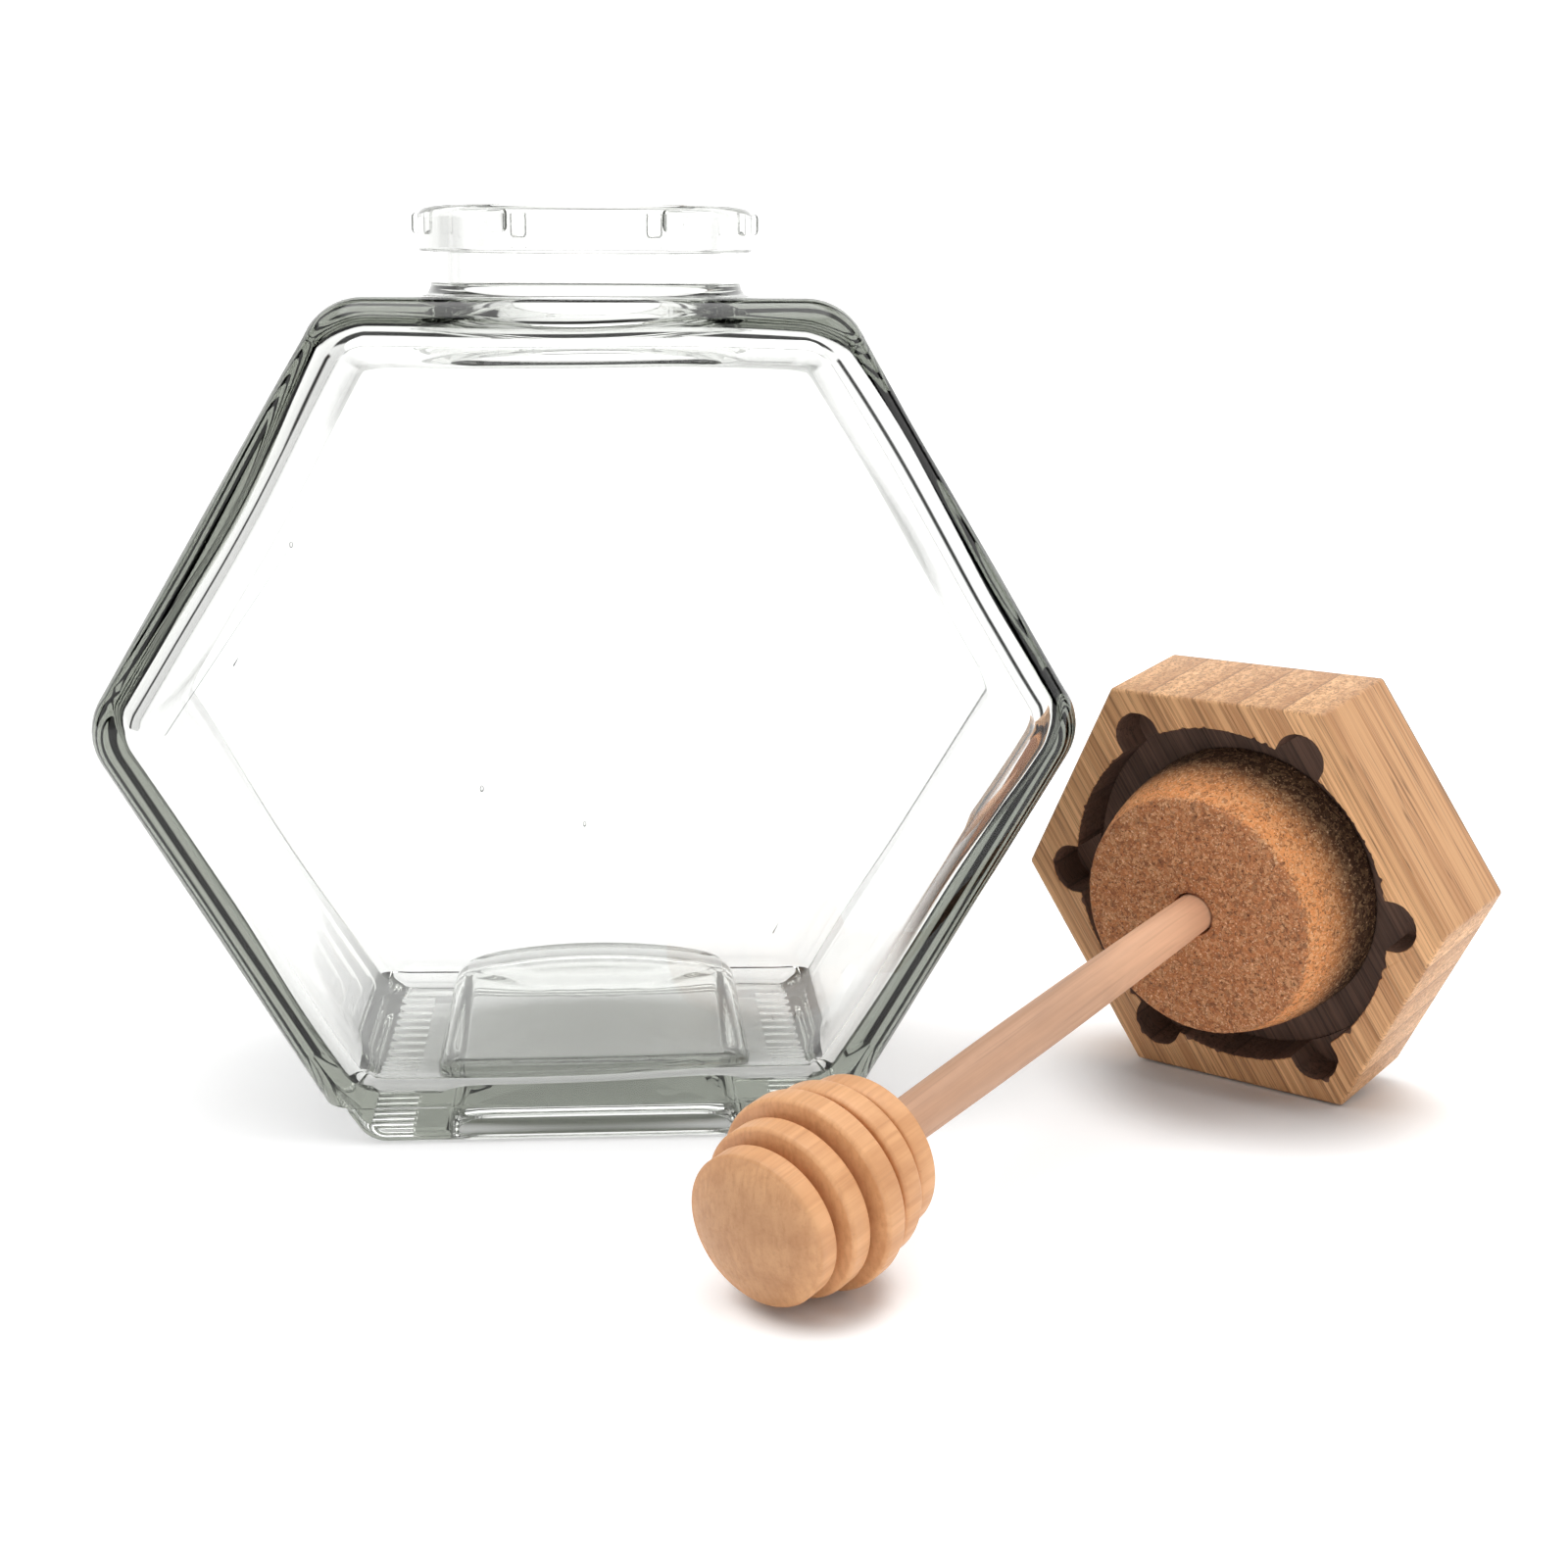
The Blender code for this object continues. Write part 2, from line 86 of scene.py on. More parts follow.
# Inside and underside of the glass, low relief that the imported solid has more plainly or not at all.
# A block is its width, depth, bottom, top, crown and edge radius.
HOLLOW_CORNER_RADIUS = 6.0 * MM
HOLLOW_EDGE_RADIUS = 5.5 * MM
FLOOR_PAD = [size * MM for size in (38.0, 49.0, 4.0, 9.0, 2.2, 2.2)]
PUSH_UP = [size * MM for size in (35.6, 45.0, -2.0, 3.0, 2.0, 2.4)]
GROOVE_COUNT = 13
GROOVE_PITCH = 3.2 * MM
GROOVE_RADIUS = 1.35 * MM
GROOVE_DEPTH = 1.0 * MM
GROOVE_LENGTH = 5.0 * MM
GROOVE_PLACE = 24.4 * MM
LUG_WIDTH = 2.8 * MM
LUG_TALL = 2.6 * MM
LUG_DROP = 0.6 * MM
LUG_EDGE = 0.6 * MM
# x, z and radius of each bubble, in millimetres
BUBBLES = ((-12.6, 43.0, 0.30), (-0.8, 38.7, 0.26), (-33.4, 71.3, 0.28))

# Lid, cork and dipper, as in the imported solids
LID_ACROSS_CORNERS = 59.8 * MM
LID_THICKNESS = 15.2 * MM
LID_HEADING = math.radians(-44.8)
LID_TIP = math.radians(10.45)
RECESS_RADIUS = 22.0 * MM
RECESS_DEPTH = 6.1 * MM
NOTCH_RADIUS = 3.3 * MM
NOTCH_CENTRE = 22.5 * MM
NOTCH_DEPTH = 5.5 * MM
CORK_BASE_RADIUS = 17.8 * MM
CORK_END_RADIUS = 15.5 * MM
CORK_STANDOFF = 7.5 * MM
STICK_OFFSET = Vector((-0.2, 0.5, 0.0)) * MM
DIPPER_TURN = math.radians(1.65)
STICK_RADIUS = 2.75 * MM
STICK_END_RADIUS = 2.5 * MM
STICK_SOCKET = 5.0 * MM
FIRST_DISC = 84.4 * MM
DISC_PITCH = 4.0 * MM
DISC_WIDTH = 2.85 * MM
DISC_RADII = [radius * MM for radius in (8.3, 9.4, 10.7, 9.9, 8.75)]
GAP = 0.3 * MM

# How far a cutter runs past the surface that it opens
OVERCUT = 2.0 * MM

# The face's torn edge: height, even spread and share of the raggedness
TORN_LEVELS = ((OVERCUT, 0.25, 1.0), (0.02 * MM, 0.25, 1.0), (-0.12 * MM, 0.1, 0.8),
               (-0.35 * MM, 0.02, 0.4), (-1.2 * MM, 0.0, 0.1), (-NOTCH_DEPTH, 0.0, 0.0))
LID_CORNER_LOSS = 0.15 * MM
CORK_SWELL = 2.2
NOISE_SEED = 7
HEAD_COLLAR = 0.9 * MM
MARKED_RADIUS = 3.2 * MM

WHITE = (1.0, 1.0, 1.0)
BLACK = (0.0, 0.0, 0.0)
SCREEN_BLACK = (0.01, 0.01, 0.01)
CORK_LIGHT = (0.80, 0.50, 0.26)
CORK_PALE = (0.86, 0.55, 0.33)
CORK_DARK = (0.06, 0.02, 0.01)

# Painted shadows on the paper, where its glow fades: node, its share of the width and depth, and the end of
# the fade
PAINTED_PAPER_SHADOWS = (("jar", 0.46, 0.75, 1.25), ("dipper_head", 0.55, 0.85, 1.4), ("lid", 0.6, 0.85, 1.8))
FLOOR_DROP = 0.03 * MM

# Camera, from the photo: place and turn from the middle of the jar's foot
CAMERA_PLACE = Vector((1.574, -309.794, 100.286)) * MM
CAMERA_PITCH = 0.19916
CAMERA_YAW = 0.07378
CAMERA_ROLL = -0.00394
FOCAL_LENGTH = 56.82
SENSOR_WIDTH = 36.0


def length_setting(name, description, default):
    return FloatProperty(name=name, description=description, default=default, unit="LENGTH")


def angle_setting(name, description, default):
    return FloatProperty(name=name, description=description, default=default, subtype="ANGLE")


def level_setting(name, description, default):
    return FloatProperty(name=name, description=description, default=default, min=0.0)


def colour_setting(name, description, default):
    return FloatVectorProperty(name=name, description=description, default=default,
                               subtype="COLOR", min=0.0, max=1.0)


class HoneyJarGlassSettings(PropertyGroup):
    wall: length_setting("Wall", "Thickness of the glass at the sides", 2.5 * MM)
    top_wall: length_setting("Shoulder wall", "Thickness of the glass at the shoulder", 3.4 * MM)
    heel_wall: length_setting("Heel wall", "Thickness of the sides where they meet the floor", 3.3 * MM)
    floor_height: length_setting("Floor", "Height of the hollow's floor", 5.0 * MM)
    edge_radius: length_setting("Edge radius", "Rounding between the faces and the sides", 4.5 * MM)
    waviness: length_setting("Waviness", "Unevenness of the blown inner wall", 1.1 * MM)
    tint: colour_setting("Tint", "Colour of the glass seen through its thickness", (0.55, 0.57, 0.525))
    tint_density: level_setting("Tint density", "Strength of the tint, for each metre of glass", 60.0)


class HoneyJarWoodSettings(PropertyGroup):
    bamboo_light: colour_setting("Bamboo, light", "Palest tone of the bamboo strips", (0.84, 0.49, 0.24))
    bamboo_dark: colour_setting("Bamboo, dark", "Tone of the bamboo's fibres", (0.38, 0.17, 0.065))
    # Recess tone: partly scorch from the routing, partly painted shade
    recess_scorch_and_shade: colour_setting("Scorch", "Tone of the routed recess", (0.20, 0.112, 0.078))
    strip_width: length_setting("Strip width", "Width of one laminated bamboo strip", 5.4 * MM)
    head_light: colour_setting("Head, light", "Palest tone of the turned head", (0.71, 0.385, 0.185))
    head_dark: colour_setting("Head, dark", "Darkest tone of the turned head", (0.46, 0.205, 0.08))
    stick_tone: colour_setting("Stick", "Tone of the dipper's stick", (0.69, 0.40, 0.25))


class HoneyJarCorkSettings(PropertyGroup):
    granule: length_setting("Granule", "Size of the cork granules", 0.48 * MM)
    relief: length_setting("Relief", "Depth of the cork's granular relief", 0.09 * MM)
    side_tone: colour_setting("Side", "Tone of the cork's side", (0.74, 0.29, 0.095))
    end_tone: colour_setting("End", "Tone of the cork's ground end", (0.44, 0.165, 0.062))


class HoneyJarStageSettings(PropertyGroup):
    floor_size: length_setting("Floor", "Width of the floor", 4.0)
    floor_tone: FloatProperty(name="Floor tone", description="Lightness of the floor",
                              default=0.76, min=0.0, max=1.0)
    # Painted shadow: the grey-green shade painted on the paper under the glass jar
    painted_jar_shadow: colour_setting("Floor shade", "Colour of the paper under the glass", (0.36, 0.385, 0.31))
    floor_glow: level_setting("Floor glow", "Light that the white floor itself gives off", 0.4)
    sky_strength: level_setting("Surroundings", "Brightness of the white surroundings", 1.12)
    overhead_strength: level_setting("Overhead", "Extra brightness of the light overhead", 2.0)
    screen_angle: angle_setting("Screen angle", "Turn of the four black screens from the view",
                                math.radians(68))
    screen_width: angle_setting("Screen width", "Width of each black screen, as an angle",
                                math.radians(11))


def jar_place():
    """Middle of the jar's foot, on the floor."""
    low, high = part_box("jar")
    return Vector(((low[0] + high[0]) / 2, (low[1] + high[1]) / 2, low[2]))


def lid_frame():
    """Frame of the lid's open face: X to its right, Y up its face and Z out of it."""
    low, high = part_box("lid")
    turn = Euler((math.pi / 2 + LID_TIP, 0.0, LID_HEADING)).to_matrix()
    middle = (Vector(low) + Vector(high)) / 2
    return Matrix.Translation(middle + turn.col[2] * LID_THICKNESS / 2) @ turn.to_4x4()


def dipper_frame():
    """Frame of the dipper: Z runs along the stick from the cork's end."""
    offset = STICK_OFFSET + Vector((0.0, 0.0, CORK_STANDOFF))
    return lid_frame() @ Matrix.Translation(offset) @ Matrix.Rotation(DIPPER_TURN, 4, "Y")


def new_object(name, mesh):
    item = bpy.data.objects.new(name, mesh)
    bpy.context.scene.collection.objects.link(item)
    return item


def object_from(bm, name):
    mesh = bpy.data.meshes.new(name)
    bm.normal_update()
    bm.to_mesh(mesh)
    bm.free()
    return new_object(name, mesh)


def settle(item):
    """Turn an object with live modifiers into one plain mesh."""
    bpy.context.view_layer.update()
    depsgraph = bpy.context.evaluated_depsgraph_get()
    mesh = bpy.data.meshes.new_from_object(item.evaluated_get(depsgraph), depsgraph=depsgraph)
    item.modifiers.clear()
    item.data = mesh
    return item


def combine(target, tool, operation):
    """Join or cut the target with a helper solid, which is then removed."""
    modifier = target.modifiers.new("combine", "BOOLEAN")
    modifier.operation = operation
    modifier.object = tool
    modifier.solver = "EXACT"
    settle(target)
    if not target.data.polygons:
        raise RuntimeError(f"{target.name} was lost when it met {tool.name}")
    bpy.data.objects.remove(tool)


def arc(centre, radius, start, end, steps):
    """Points of an arc in the (radius, height) plane, angles in degrees."""
    angles = [math.radians(start + (end - start) * i / steps) for i in range(steps + 1)]
    return [(centre[0] + radius * math.cos(a), centre[1] + radius * math.sin(a)) for a in angles]


def turned(name, outline, steps):
    """Closed solid of revolution about Z, from (radius, height) points that start and end on the axis."""
    bm = bmesh.new()
    rings = []
    for radius, height in outline:
        if radius < 1e-7:
            rings.append([bm.verts.new((0.0, 0.0, height))])
            continue
        angles = [2 * math.pi * i / steps for i in range(steps)]
        rings.append([bm.verts.new((radius * math.cos(a), radius * math.sin(a), height)) for a in angles])
    for upper, lower in zip(rings, rings[1:]):
        for i in range(steps):
            corners = [upper[i % len(upper)], lower[i % len(lower)],
                       lower[(i + 1) % len(lower)], upper[(i + 1) % len(upper)]]
            corners = list(dict.fromkeys(corners))
            if len(corners) > 2:
                bm.faces.new(corners)
    bmesh.ops.recalc_face_normals(bm, faces=bm.faces)
    return object_from(bm, name)


def rounded_outline(right, corner_steps, run_step=None):
    """Closed outline with round corners, from the right-hand corners (x, z, radius), upwards.

    Gives (point, outward normal) pairs; run_step also sets points along the straight runs.
    """
    corners = [(Vector((x, z)), radius) for x, z, radius in right]
    corners += [(Vector((-corner.x, corner.y)), radius) for corner, radius in reversed(corners)]
    points = []
    for i, (corner, radius) in enumerate(corners):
        before = (corners[i - 1][0] - corner).normalized()
        after = (corners[(i + 1) % len(corners)][0] - corner).normalized()
        half_angle = before.angle(after) / 2
        centre = corner + (before + after).normalized() * radius / math.sin(half_angle)
        start = corner + before * radius / math.tan(half_angle) - centre
        turn = math.pi - 2 * half_angle
        for step in range(corner_steps + 1):
            arm = Matrix.Rotation(turn * step / corner_steps, 2) @ start
            points.append((centre + arm, arm.normalized()))
    if run_step is None:
        return points
    full = []
    for (point, normal), (following, _) in zip(points, points[1:] + points[:1]):
        full.append((point, normal))
        count = int((following - point).length / run_step)
        for k in range(1, count):
            full.append((point.lerp(following, k / count), normal))
    return full


def capped(bm, rings, name):
    """Solid from rings of equally many vertices, joined in order and closed at both ends."""
    count = len(rings[0])
    for near, far in zip(rings, rings[1:]):
        for i in range(count):
            j = (i + 1) % count
            bm.faces.new((near[i], near[j], far[j], far[i]))
    bm.faces.new(rings[0])
    bm.faces.new(rings[-1])
    bmesh.ops.recalc_face_normals(bm, faces=bm.faces)
    return object_from(bm, name)


def slab(name, outline, depth, edge_radius, edge_steps, shift=None):
    """Outline in the XZ plane given a depth along Y, with quarter-round edges and flat faces.

    shift(place) moves each side point along its outward normal.
    """
    bm = bmesh.new()
    rings = []
    for step in range(2 * edge_steps + 2):
        side = -1 if step <= edge_steps else 1
        k = step if side < 0 else 2 * edge_steps + 1 - step
        angle = math.pi / 2 * (1 - k / edge_steps)
        y = side * (depth / 2 - edge_radius + edge_radius * math.sin(angle))
        inset = edge_radius * (1 - math.cos(angle))
        ring = []
        for point, normal in outline:
            place = point - normal * inset
            spot = Vector((place.x, y, place.y))
            if shift:
                spot += Vector((normal.x, 0.0, normal.y)) * shift(spot)
            ring.append(bm.verts.new(spot))
        rings.append(ring)
    return capped(bm, rings, name)


def domed_block(name, width, depth, bottom, top, crown, edge_radius, cells=64):
    """Block with rounded corners and edge, whose top arches up towards the back."""
    bm = bmesh.new()
    bmesh.ops.create_grid(bm, x_segments=cells, y_segments=cells, size=0.5)
    power = 12
    for vertex in bm.verts:
        u = math.sin(vertex.co.x * math.pi)
        v = math.sin(vertex.co.y * math.pi)
        rim = max(abs(u), abs(v), 1e-6)
        squareness = rim / (abs(u) ** power + abs(v) ** power) ** (1 / power) if rim > 1e-3 else 1.0
        fade = min(max((v + 1) / 1.7, 0.0), 1.0)
        rise = crown * (1 - u * u) * fade * fade * (3 - 2 * fade)
        inside = min(width / 2 * (1 - abs(u)), depth / 2 * (1 - abs(v)), edge_radius)
        drop = edge_radius - math.sqrt(edge_radius ** 2 - (edge_radius - inside) ** 2)
        vertex.co = (width / 2 * u * squareness, depth / 2 * v * squareness, top + rise - drop)
    extruded = bmesh.ops.extrude_face_region(bm, geom=bm.faces[:])
    lowered = [v for v in extruded["geom"] if isinstance(v, bmesh.types.BMVert)]
    for vertex in lowered:
        vertex.co.z = bottom
    bmesh.ops.dissolve_faces(bm, faces=[f for f in bm.faces if all(v in lowered for v in f.verts)])
    bmesh.ops.recalc_face_normals(bm, faces=bm.faces)
    return object_from(bm, name)


def neck_outline():
    rim_round = 1.2 * MM
    flare = 1.6 * MM
    chamfer = 0.4 * MM
    rim = arc((FLANGE_RADIUS - rim_round, RIM_HEIGHT - rim_round), rim_round, 90, 0, 10)
    underside = arc((FLANGE_RADIUS - chamfer, FLANGE_UNDERSIDE + chamfer), chamfer, 0, -90, 4)
    waist = arc((NECK_RADIUS + flare, JAR_HEIGHT + flare), flare, 180, 255, 8)
    root = JAR_HEIGHT - 1.3 * MM
    foot = waist[-1][0]
    return ([(0, RIM_HEIGHT)] + rim + underside + [(NECK_RADIUS, FLANGE_UNDERSIDE)] + waist
            + [(foot, root), (0, root)])


def bore_outline():
    lip = 1.3 * MM
    above = RIM_HEIGHT + OVERCUT
    below = JAR_HEIGHT - 2.6 * MM - OVERCUT
    round_lip = arc((BORE_RADIUS + lip, RIM_HEIGHT - lip), lip, 125, 180, 8)
    return [(0, above), (BORE_RADIUS + lip, above)] + round_lip + [(BORE_RADIUS, below), (0, below)]


def set_inputs(tree, item, inputs):
    """Give each input of a node its value, or link it where the value is a socket."""
    for key, value in inputs.items():
        if isinstance(value, bpy.types.NodeSocket):
            tree.links.new(value, item.inputs[key])
        else:
            item.inputs[key].default_value = value


def add_node(tree, kind, inputs, **properties):
    item = tree.nodes.new(kind)
    for key, value in properties.items():
        setattr(item, key, value)
    set_inputs(tree, item, inputs)
    return item


def new_material(name):
    material = bpy.data.materials.new(name)
    material.use_nodes = True
    tree = material.node_tree
    return material, tree, tree.nodes["Principled BSDF"]


def new_group(name, kind, inputs, outputs):
    """Empty node group with its named sockets, given with its input and output nodes."""
    tree = bpy.data.node_groups.new(name, kind)
    for label, socket_type, default in inputs:
        socket = tree.interface.new_socket(name=label, in_out="INPUT", socket_type=socket_type)
        if default is not None:
            socket.default_value = default
    for label, socket_type in outputs:
        tree.interface.new_socket(name=label, in_out="OUTPUT", socket_type=socket_type)
    return tree, tree.nodes.new("NodeGroupInput"), tree.nodes.new("NodeGroupOutput")


def glass_material(settings):
    """Clear glass whose tint deepens with its thickness."""
    material, tree, shader = new_material("clear_glass")
    set_inputs(tree, shader, {"Base Color": (1.0, 1.0, 1.0, 1.0), "Roughness": 0.0, "IOR": 1.5,
                              "Transmission Weight": 1.0})
    tint = add_node(tree, "ShaderNodeVolumeAbsorption",
                    {"Color": (*settings.tint, 1.0), "Density": settings.tint_density})
    tree.links.new(tint.outputs[0], tree.nodes["Material Output"].inputs["Volume"])
    return material


def math_node(tree, operation, *values):
    """Math node; a value is a socket or a number."""
    return add_node(tree, "ShaderNodeMath", dict(enumerate(values)), operation=operation).outputs[0]


def vector_node(tree, operation, inputs):
    return add_node(tree, "ShaderNodeVectorMath", inputs, operation=operation).outputs


def axes_of(tree, vector):
    """The X, Y and Z of a vector, as sockets."""
    return add_node(tree, "ShaderNodeSeparateXYZ", {0: vector}).outputs


def stretched(tree, vector, scale, offset=(0.0, 0.0, 0.0)):
    """Vector scaled and moved by a Mapping node."""
    return add_node(tree, "ShaderNodeMapping",
                    {"Scale": scale, "Location": offset, "Vector": vector}).outputs[0]


def noise_value(tree, vector, detail=2.0, roughness=0.5, distortion=0.0):
    return add_node(tree, "ShaderNodeTexNoise",
                    {"Scale": 1.0, "Detail": detail, "Roughness": roughness,
                     "Distortion": distortion, "Vector": vector}).outputs["Fac"]


def ramp_value(tree, value, low, high, to_low=0.0, to_high=1.0):
    """Smooth step of a value between two limits."""
    return add_node(tree, "ShaderNodeMapRange",
                    {"From Min": low, "From Max": high, "To Min": to_low, "To Max": to_high, "Value": value},
                    interpolation_type="SMOOTHSTEP").outputs["Result"]


def mixed(tree, factor, first, second):
    """Colour mix; a colour is a socket or a tuple."""
    colours = [item if isinstance(item, bpy.types.NodeSocket) else (*item, 1.0) for item in (first, second)]
    return add_node(tree, "ShaderNodeMix", {0: factor, 6: colours[0], 7: colours[1]},
                    data_type="RGBA").outputs[2]


def shaded(tree, colour, level):
    """Colour times a level."""
    return vector_node(tree, "SCALE", {0: colour, "Scale": level})[0]


def placed_coordinates(tree, place):
    """Object coordinates in millimetres, read in the frame of a turned piece."""
    coordinates = tree.nodes.new("ShaderNodeTexCoord")
    return add_node(tree, "ShaderNodeMapping",
                    {"Location": place.to_translation(), "Rotation": place.to_euler(),
                     "Scale": (MM, MM, MM), "Vector": coordinates.outputs["Object"]},
                    vector_type="TEXTURE").outputs[0]


def grain_group():
    """Wood fibres that run along Y: long streaks, fine fibres and dark pores."""
    tree = bpy.data.node_groups.get("wood_grain")
    if tree:
        return tree
    tree, source, sink = new_group(
        "wood_grain", "ShaderNodeTree",
        [("Vector", "NodeSocketVector", None), ("Pore Amount", "NodeSocketFloat", 0.5)],
        [("Streaks", "NodeSocketFloat"), ("Fibres", "NodeSocketFloat"), ("Pores", "NodeSocketFloat"),
         ("Height", "NodeSocketFloat")])
    vector = source.outputs["Vector"]
    streaks = noise_value(tree, stretched(tree, vector, (1.5, 0.014, 0.5)), 3.0, 0.6, 0.1)
    fibres = noise_value(tree, stretched(tree, vector, (2.6, 0.03, 2.6), (7.0, 2.0, 5.0)), 2.0, 0.7, 0.1)
    pores = noise_value(tree, stretched(tree, vector, (2.3, 0.05, 2.3), (31.0, 17.0, 3.0)), 1.0, 0.5)
    pores = ramp_value(tree, pores, 0.60, 0.70)
    pores = math_node(tree, "MULTIPLY", pores, source.outputs["Pore Amount"])
    height = math_node(tree, "SUBTRACT", fibres, pores)
    set_inputs(tree, sink, {"Streaks": streaks, "Fibres": fibres, "Pores": pores, "Height": height})
    return tree


def grain_node(tree, vector, pore_amount):
    item = tree.nodes.new("ShaderNodeGroup")
    item.node_tree = grain_group()
    set_inputs(tree, item, {"Pore Amount": pore_amount, "Vector": vector})
    return item.outputs


def finish_surface(tree, shader, colour, roughness, height, strength, distance):
    """Link the colour and roughness, and a bump of a strength and a depth in metres."""
    bump = add_node(tree, "ShaderNodeBump", {"Strength": strength, "Distance": distance, "Height": height})
    set_inputs(tree, shader, {"Base Color": colour, "Roughness": roughness, "Normal": bump.outputs[0]})


def bamboo_material(name, settings, light, dark, roughness):
    """Strips glued side by side, with fibres along each strip."""
    material, tree, shader = new_material(name)
    vector = placed_coordinates(tree, lid_frame() @ Matrix.Rotation(math.radians(30), 4, "Z"))
    axes = axes_of(tree, vector)
    across = math_node(tree, "DIVIDE", axes["X"], settings.strip_width / MM)
    across = math_node(tree, "ADD", across, 0.12)
    strip = math_node(tree, "FLOOR", across)
    tone = add_node(tree, "ShaderNodeTexWhiteNoise", {"W": strip}, noise_dimensions="1D").outputs
    shift = vector_node(tree, "SCALE", {0: tone["Color"], "Scale": 40.0})[0]
    grain = grain_node(tree, vector_node(tree, "ADD", {0: vector, 1: shift})[0], 0.55)

    into = math_node(tree, "FRACT", across)
    edge = math_node(tree, "MINIMUM", into, math_node(tree, "SUBTRACT", 1.0, into))
    joint = ramp_value(tree, edge, 0.0, 0.035, 1.0, 0.0)

    colour = light
    for value, low, high, amount in ((grain["Streaks"], 0.38, 0.75, 0.6), (tone["Value"], 0.0, 1.0, 0.22),
                                     (into, 0.3, 1.0, 0.5), (grain["Fibres"], 0.44, 0.7, 0.75)):
        colour = mixed(tree, ramp_value(tree, value, low, high, 0.0, amount), colour, dark)
    deep = tuple(0.35 * c for c in dark)
    lines = math_node(tree, "ABSOLUTE", math_node(tree, "SUBTRACT", grain["Streaks"], 0.52))
    colour = mixed(tree, ramp_value(tree, lines, 0.0, 0.02, 0.6, 0.0), colour, deep)
    colour = mixed(tree, math_node(tree, "MULTIPLY", grain["Pores"], 0.75), colour, deep)
    colour = mixed(tree, math_node(tree, "MULTIPLY", joint, 0.55), colour, deep)
    back = -LID_THICKNESS / MM
    rear = ramp_value(tree, axes["Z"], back + 0.25, back + 0.75, 0.85, 0.0)
    colour = mixed(tree, rear, colour, deep)
    dull = ramp_value(tree, grain["Fibres"], 0.2, 0.8, roughness - 0.08, roughness + 0.1)
    finish_surface(tree, shader, colour, dull, grain["Height"], 0.35, 0.12 * MM)
    return material


def turned_wood_material(name, light, dark, place, pore_amount, roughness, fade):
    """Pale close-grained wood whose fibres run along the piece.

    fade is painted light and shade along the piece: two heights in millimetres and the level of the tone at
    each.
    """
    material, tree, shader = new_material(name)
    vector = placed_coordinates(tree, place)
    grain = grain_node(tree, vector, pore_amount)
    mottle = noise_value(tree, stretched(tree, vector, (0.22, 0.06, 0.22), (3.0, 9.0, 4.0)), 3.0, 0.6, 0.6)
    colour = mixed(tree, ramp_value(tree, mottle, 0.3, 0.8, 0.1, 0.75), light, dark)
    colour = mixed(tree, ramp_value(tree, grain["Streaks"], 0.4, 0.75, 0.0, 0.5), colour, dark)
    colour = mixed(tree, ramp_value(tree, grain["Fibres"], 0.45, 0.8, 0.0, 0.3), colour, dark)
    deep = tuple(0.5 * c for c in dark)
    colour = mixed(tree, math_node(tree, "MULTIPLY", grain["Pores"], 0.6), colour, deep)
    # Painted light and shade: the tone is scaled lengthwise, from one level of fade to the other
    colour = shaded(tree, colour, ramp_value(tree, axes_of(tree, vector)["Y"], *fade))
    dull = ramp_value(tree, grain["Fibres"], 0.2, 0.8, roughness - 0.06, roughness + 0.1)
    finish_surface(tree, shader, colour, dull, grain["Height"], 0.25, 0.08 * MM)
    return material


def cork_material(settings):
    """Pressed cork granules, ground darker on the open end, with painted shade towards the lid's recess."""
    material, tree, shader = new_material("pressed_cork")
    vector = placed_coordinates(tree, lid_frame())
    warp = add_node(tree, "ShaderNodeTexNoise", {"Scale": 0.9, "Detail": 2.0, "Vector": vector})
    push = vector_node(tree, "MULTIPLY_ADD", {0: warp.outputs["Color"], 1: (1.6, 1.6, 1.6), 2: vector})[0]
    granules = {"Scale": MM / settings.granule, "Vector": push}
    random = add_node(tree, "ShaderNodeTexVoronoi", granules).outputs["Color"]
    edges = add_node(tree, "ShaderNodeTexVoronoi", granules, feature="DISTANCE_TO_EDGE").outputs["Distance"]
    cell = add_node(tree, "ShaderNodeSeparateColor", {0: random}).outputs

    height = axes_of(tree, vector)["Z"]
    fine = noise_value(tree, stretched(tree, vector, (2.6, 2.6, 2.6)), 3.0, 0.6)
    uneven = math_node(tree, "MULTIPLY", math_node(tree, "SUBTRACT", fine, 0.5), 2.4)
    uneven = math_node(tree, "ADD", height, uneven)
    end = ramp_value(tree, uneven, CORK_STANDOFF / MM - 1.1, CORK_STANDOFF / MM - 0.1)
    base = mixed(tree, end, settings.side_tone, settings.end_tone)
    # Painted shade: the cork darkens towards the floor of the lid's recess, down to 0.12 of its tone
    base = shaded(tree, base, ramp_value(tree, height, -2.5, 5.5, 0.12, 1.0))
    light = mixed(tree, 0.4, base, CORK_LIGHT)
    deep = mixed(tree, 0.7, base, CORK_DARK)
    colour = mixed(tree, ramp_value(tree, cell[0], 0.3, 1.0, 0.0, 0.8), base, light)
    colour = mixed(tree, ramp_value(tree, cell[1], 0.66, 1.0, 0.0, 0.65), colour, deep)
    gap = ramp_value(tree, edges, 0.0, 0.07, 1.0, 0.0)
    gap = math_node(tree, "MULTIPLY", gap, ramp_value(tree, fine, 0.4, 0.62))
    colour = mixed(tree, math_node(tree, "MULTIPLY", gap, 0.7), colour, deep)
    flecks = noise_value(tree, stretched(tree, vector, (3.3, 3.3, 3.3), (5.0, 1.0, 8.0)), 2.0, 0.6)
    colour = mixed(tree, ramp_value(tree, flecks, 0.6, 0.7, 0.0, 0.8), colour, CORK_PALE)
    colour = mixed(tree, ramp_value(tree, flecks, 0.41, 0.31, 0.0, 0.85), colour, CORK_DARK)
    relief = math_node(tree, "SUBTRACT", fine, gap)
    finish_surface(tree, shader, colour, 0.85, relief, 0.6, 0.2 * MM)
    return material


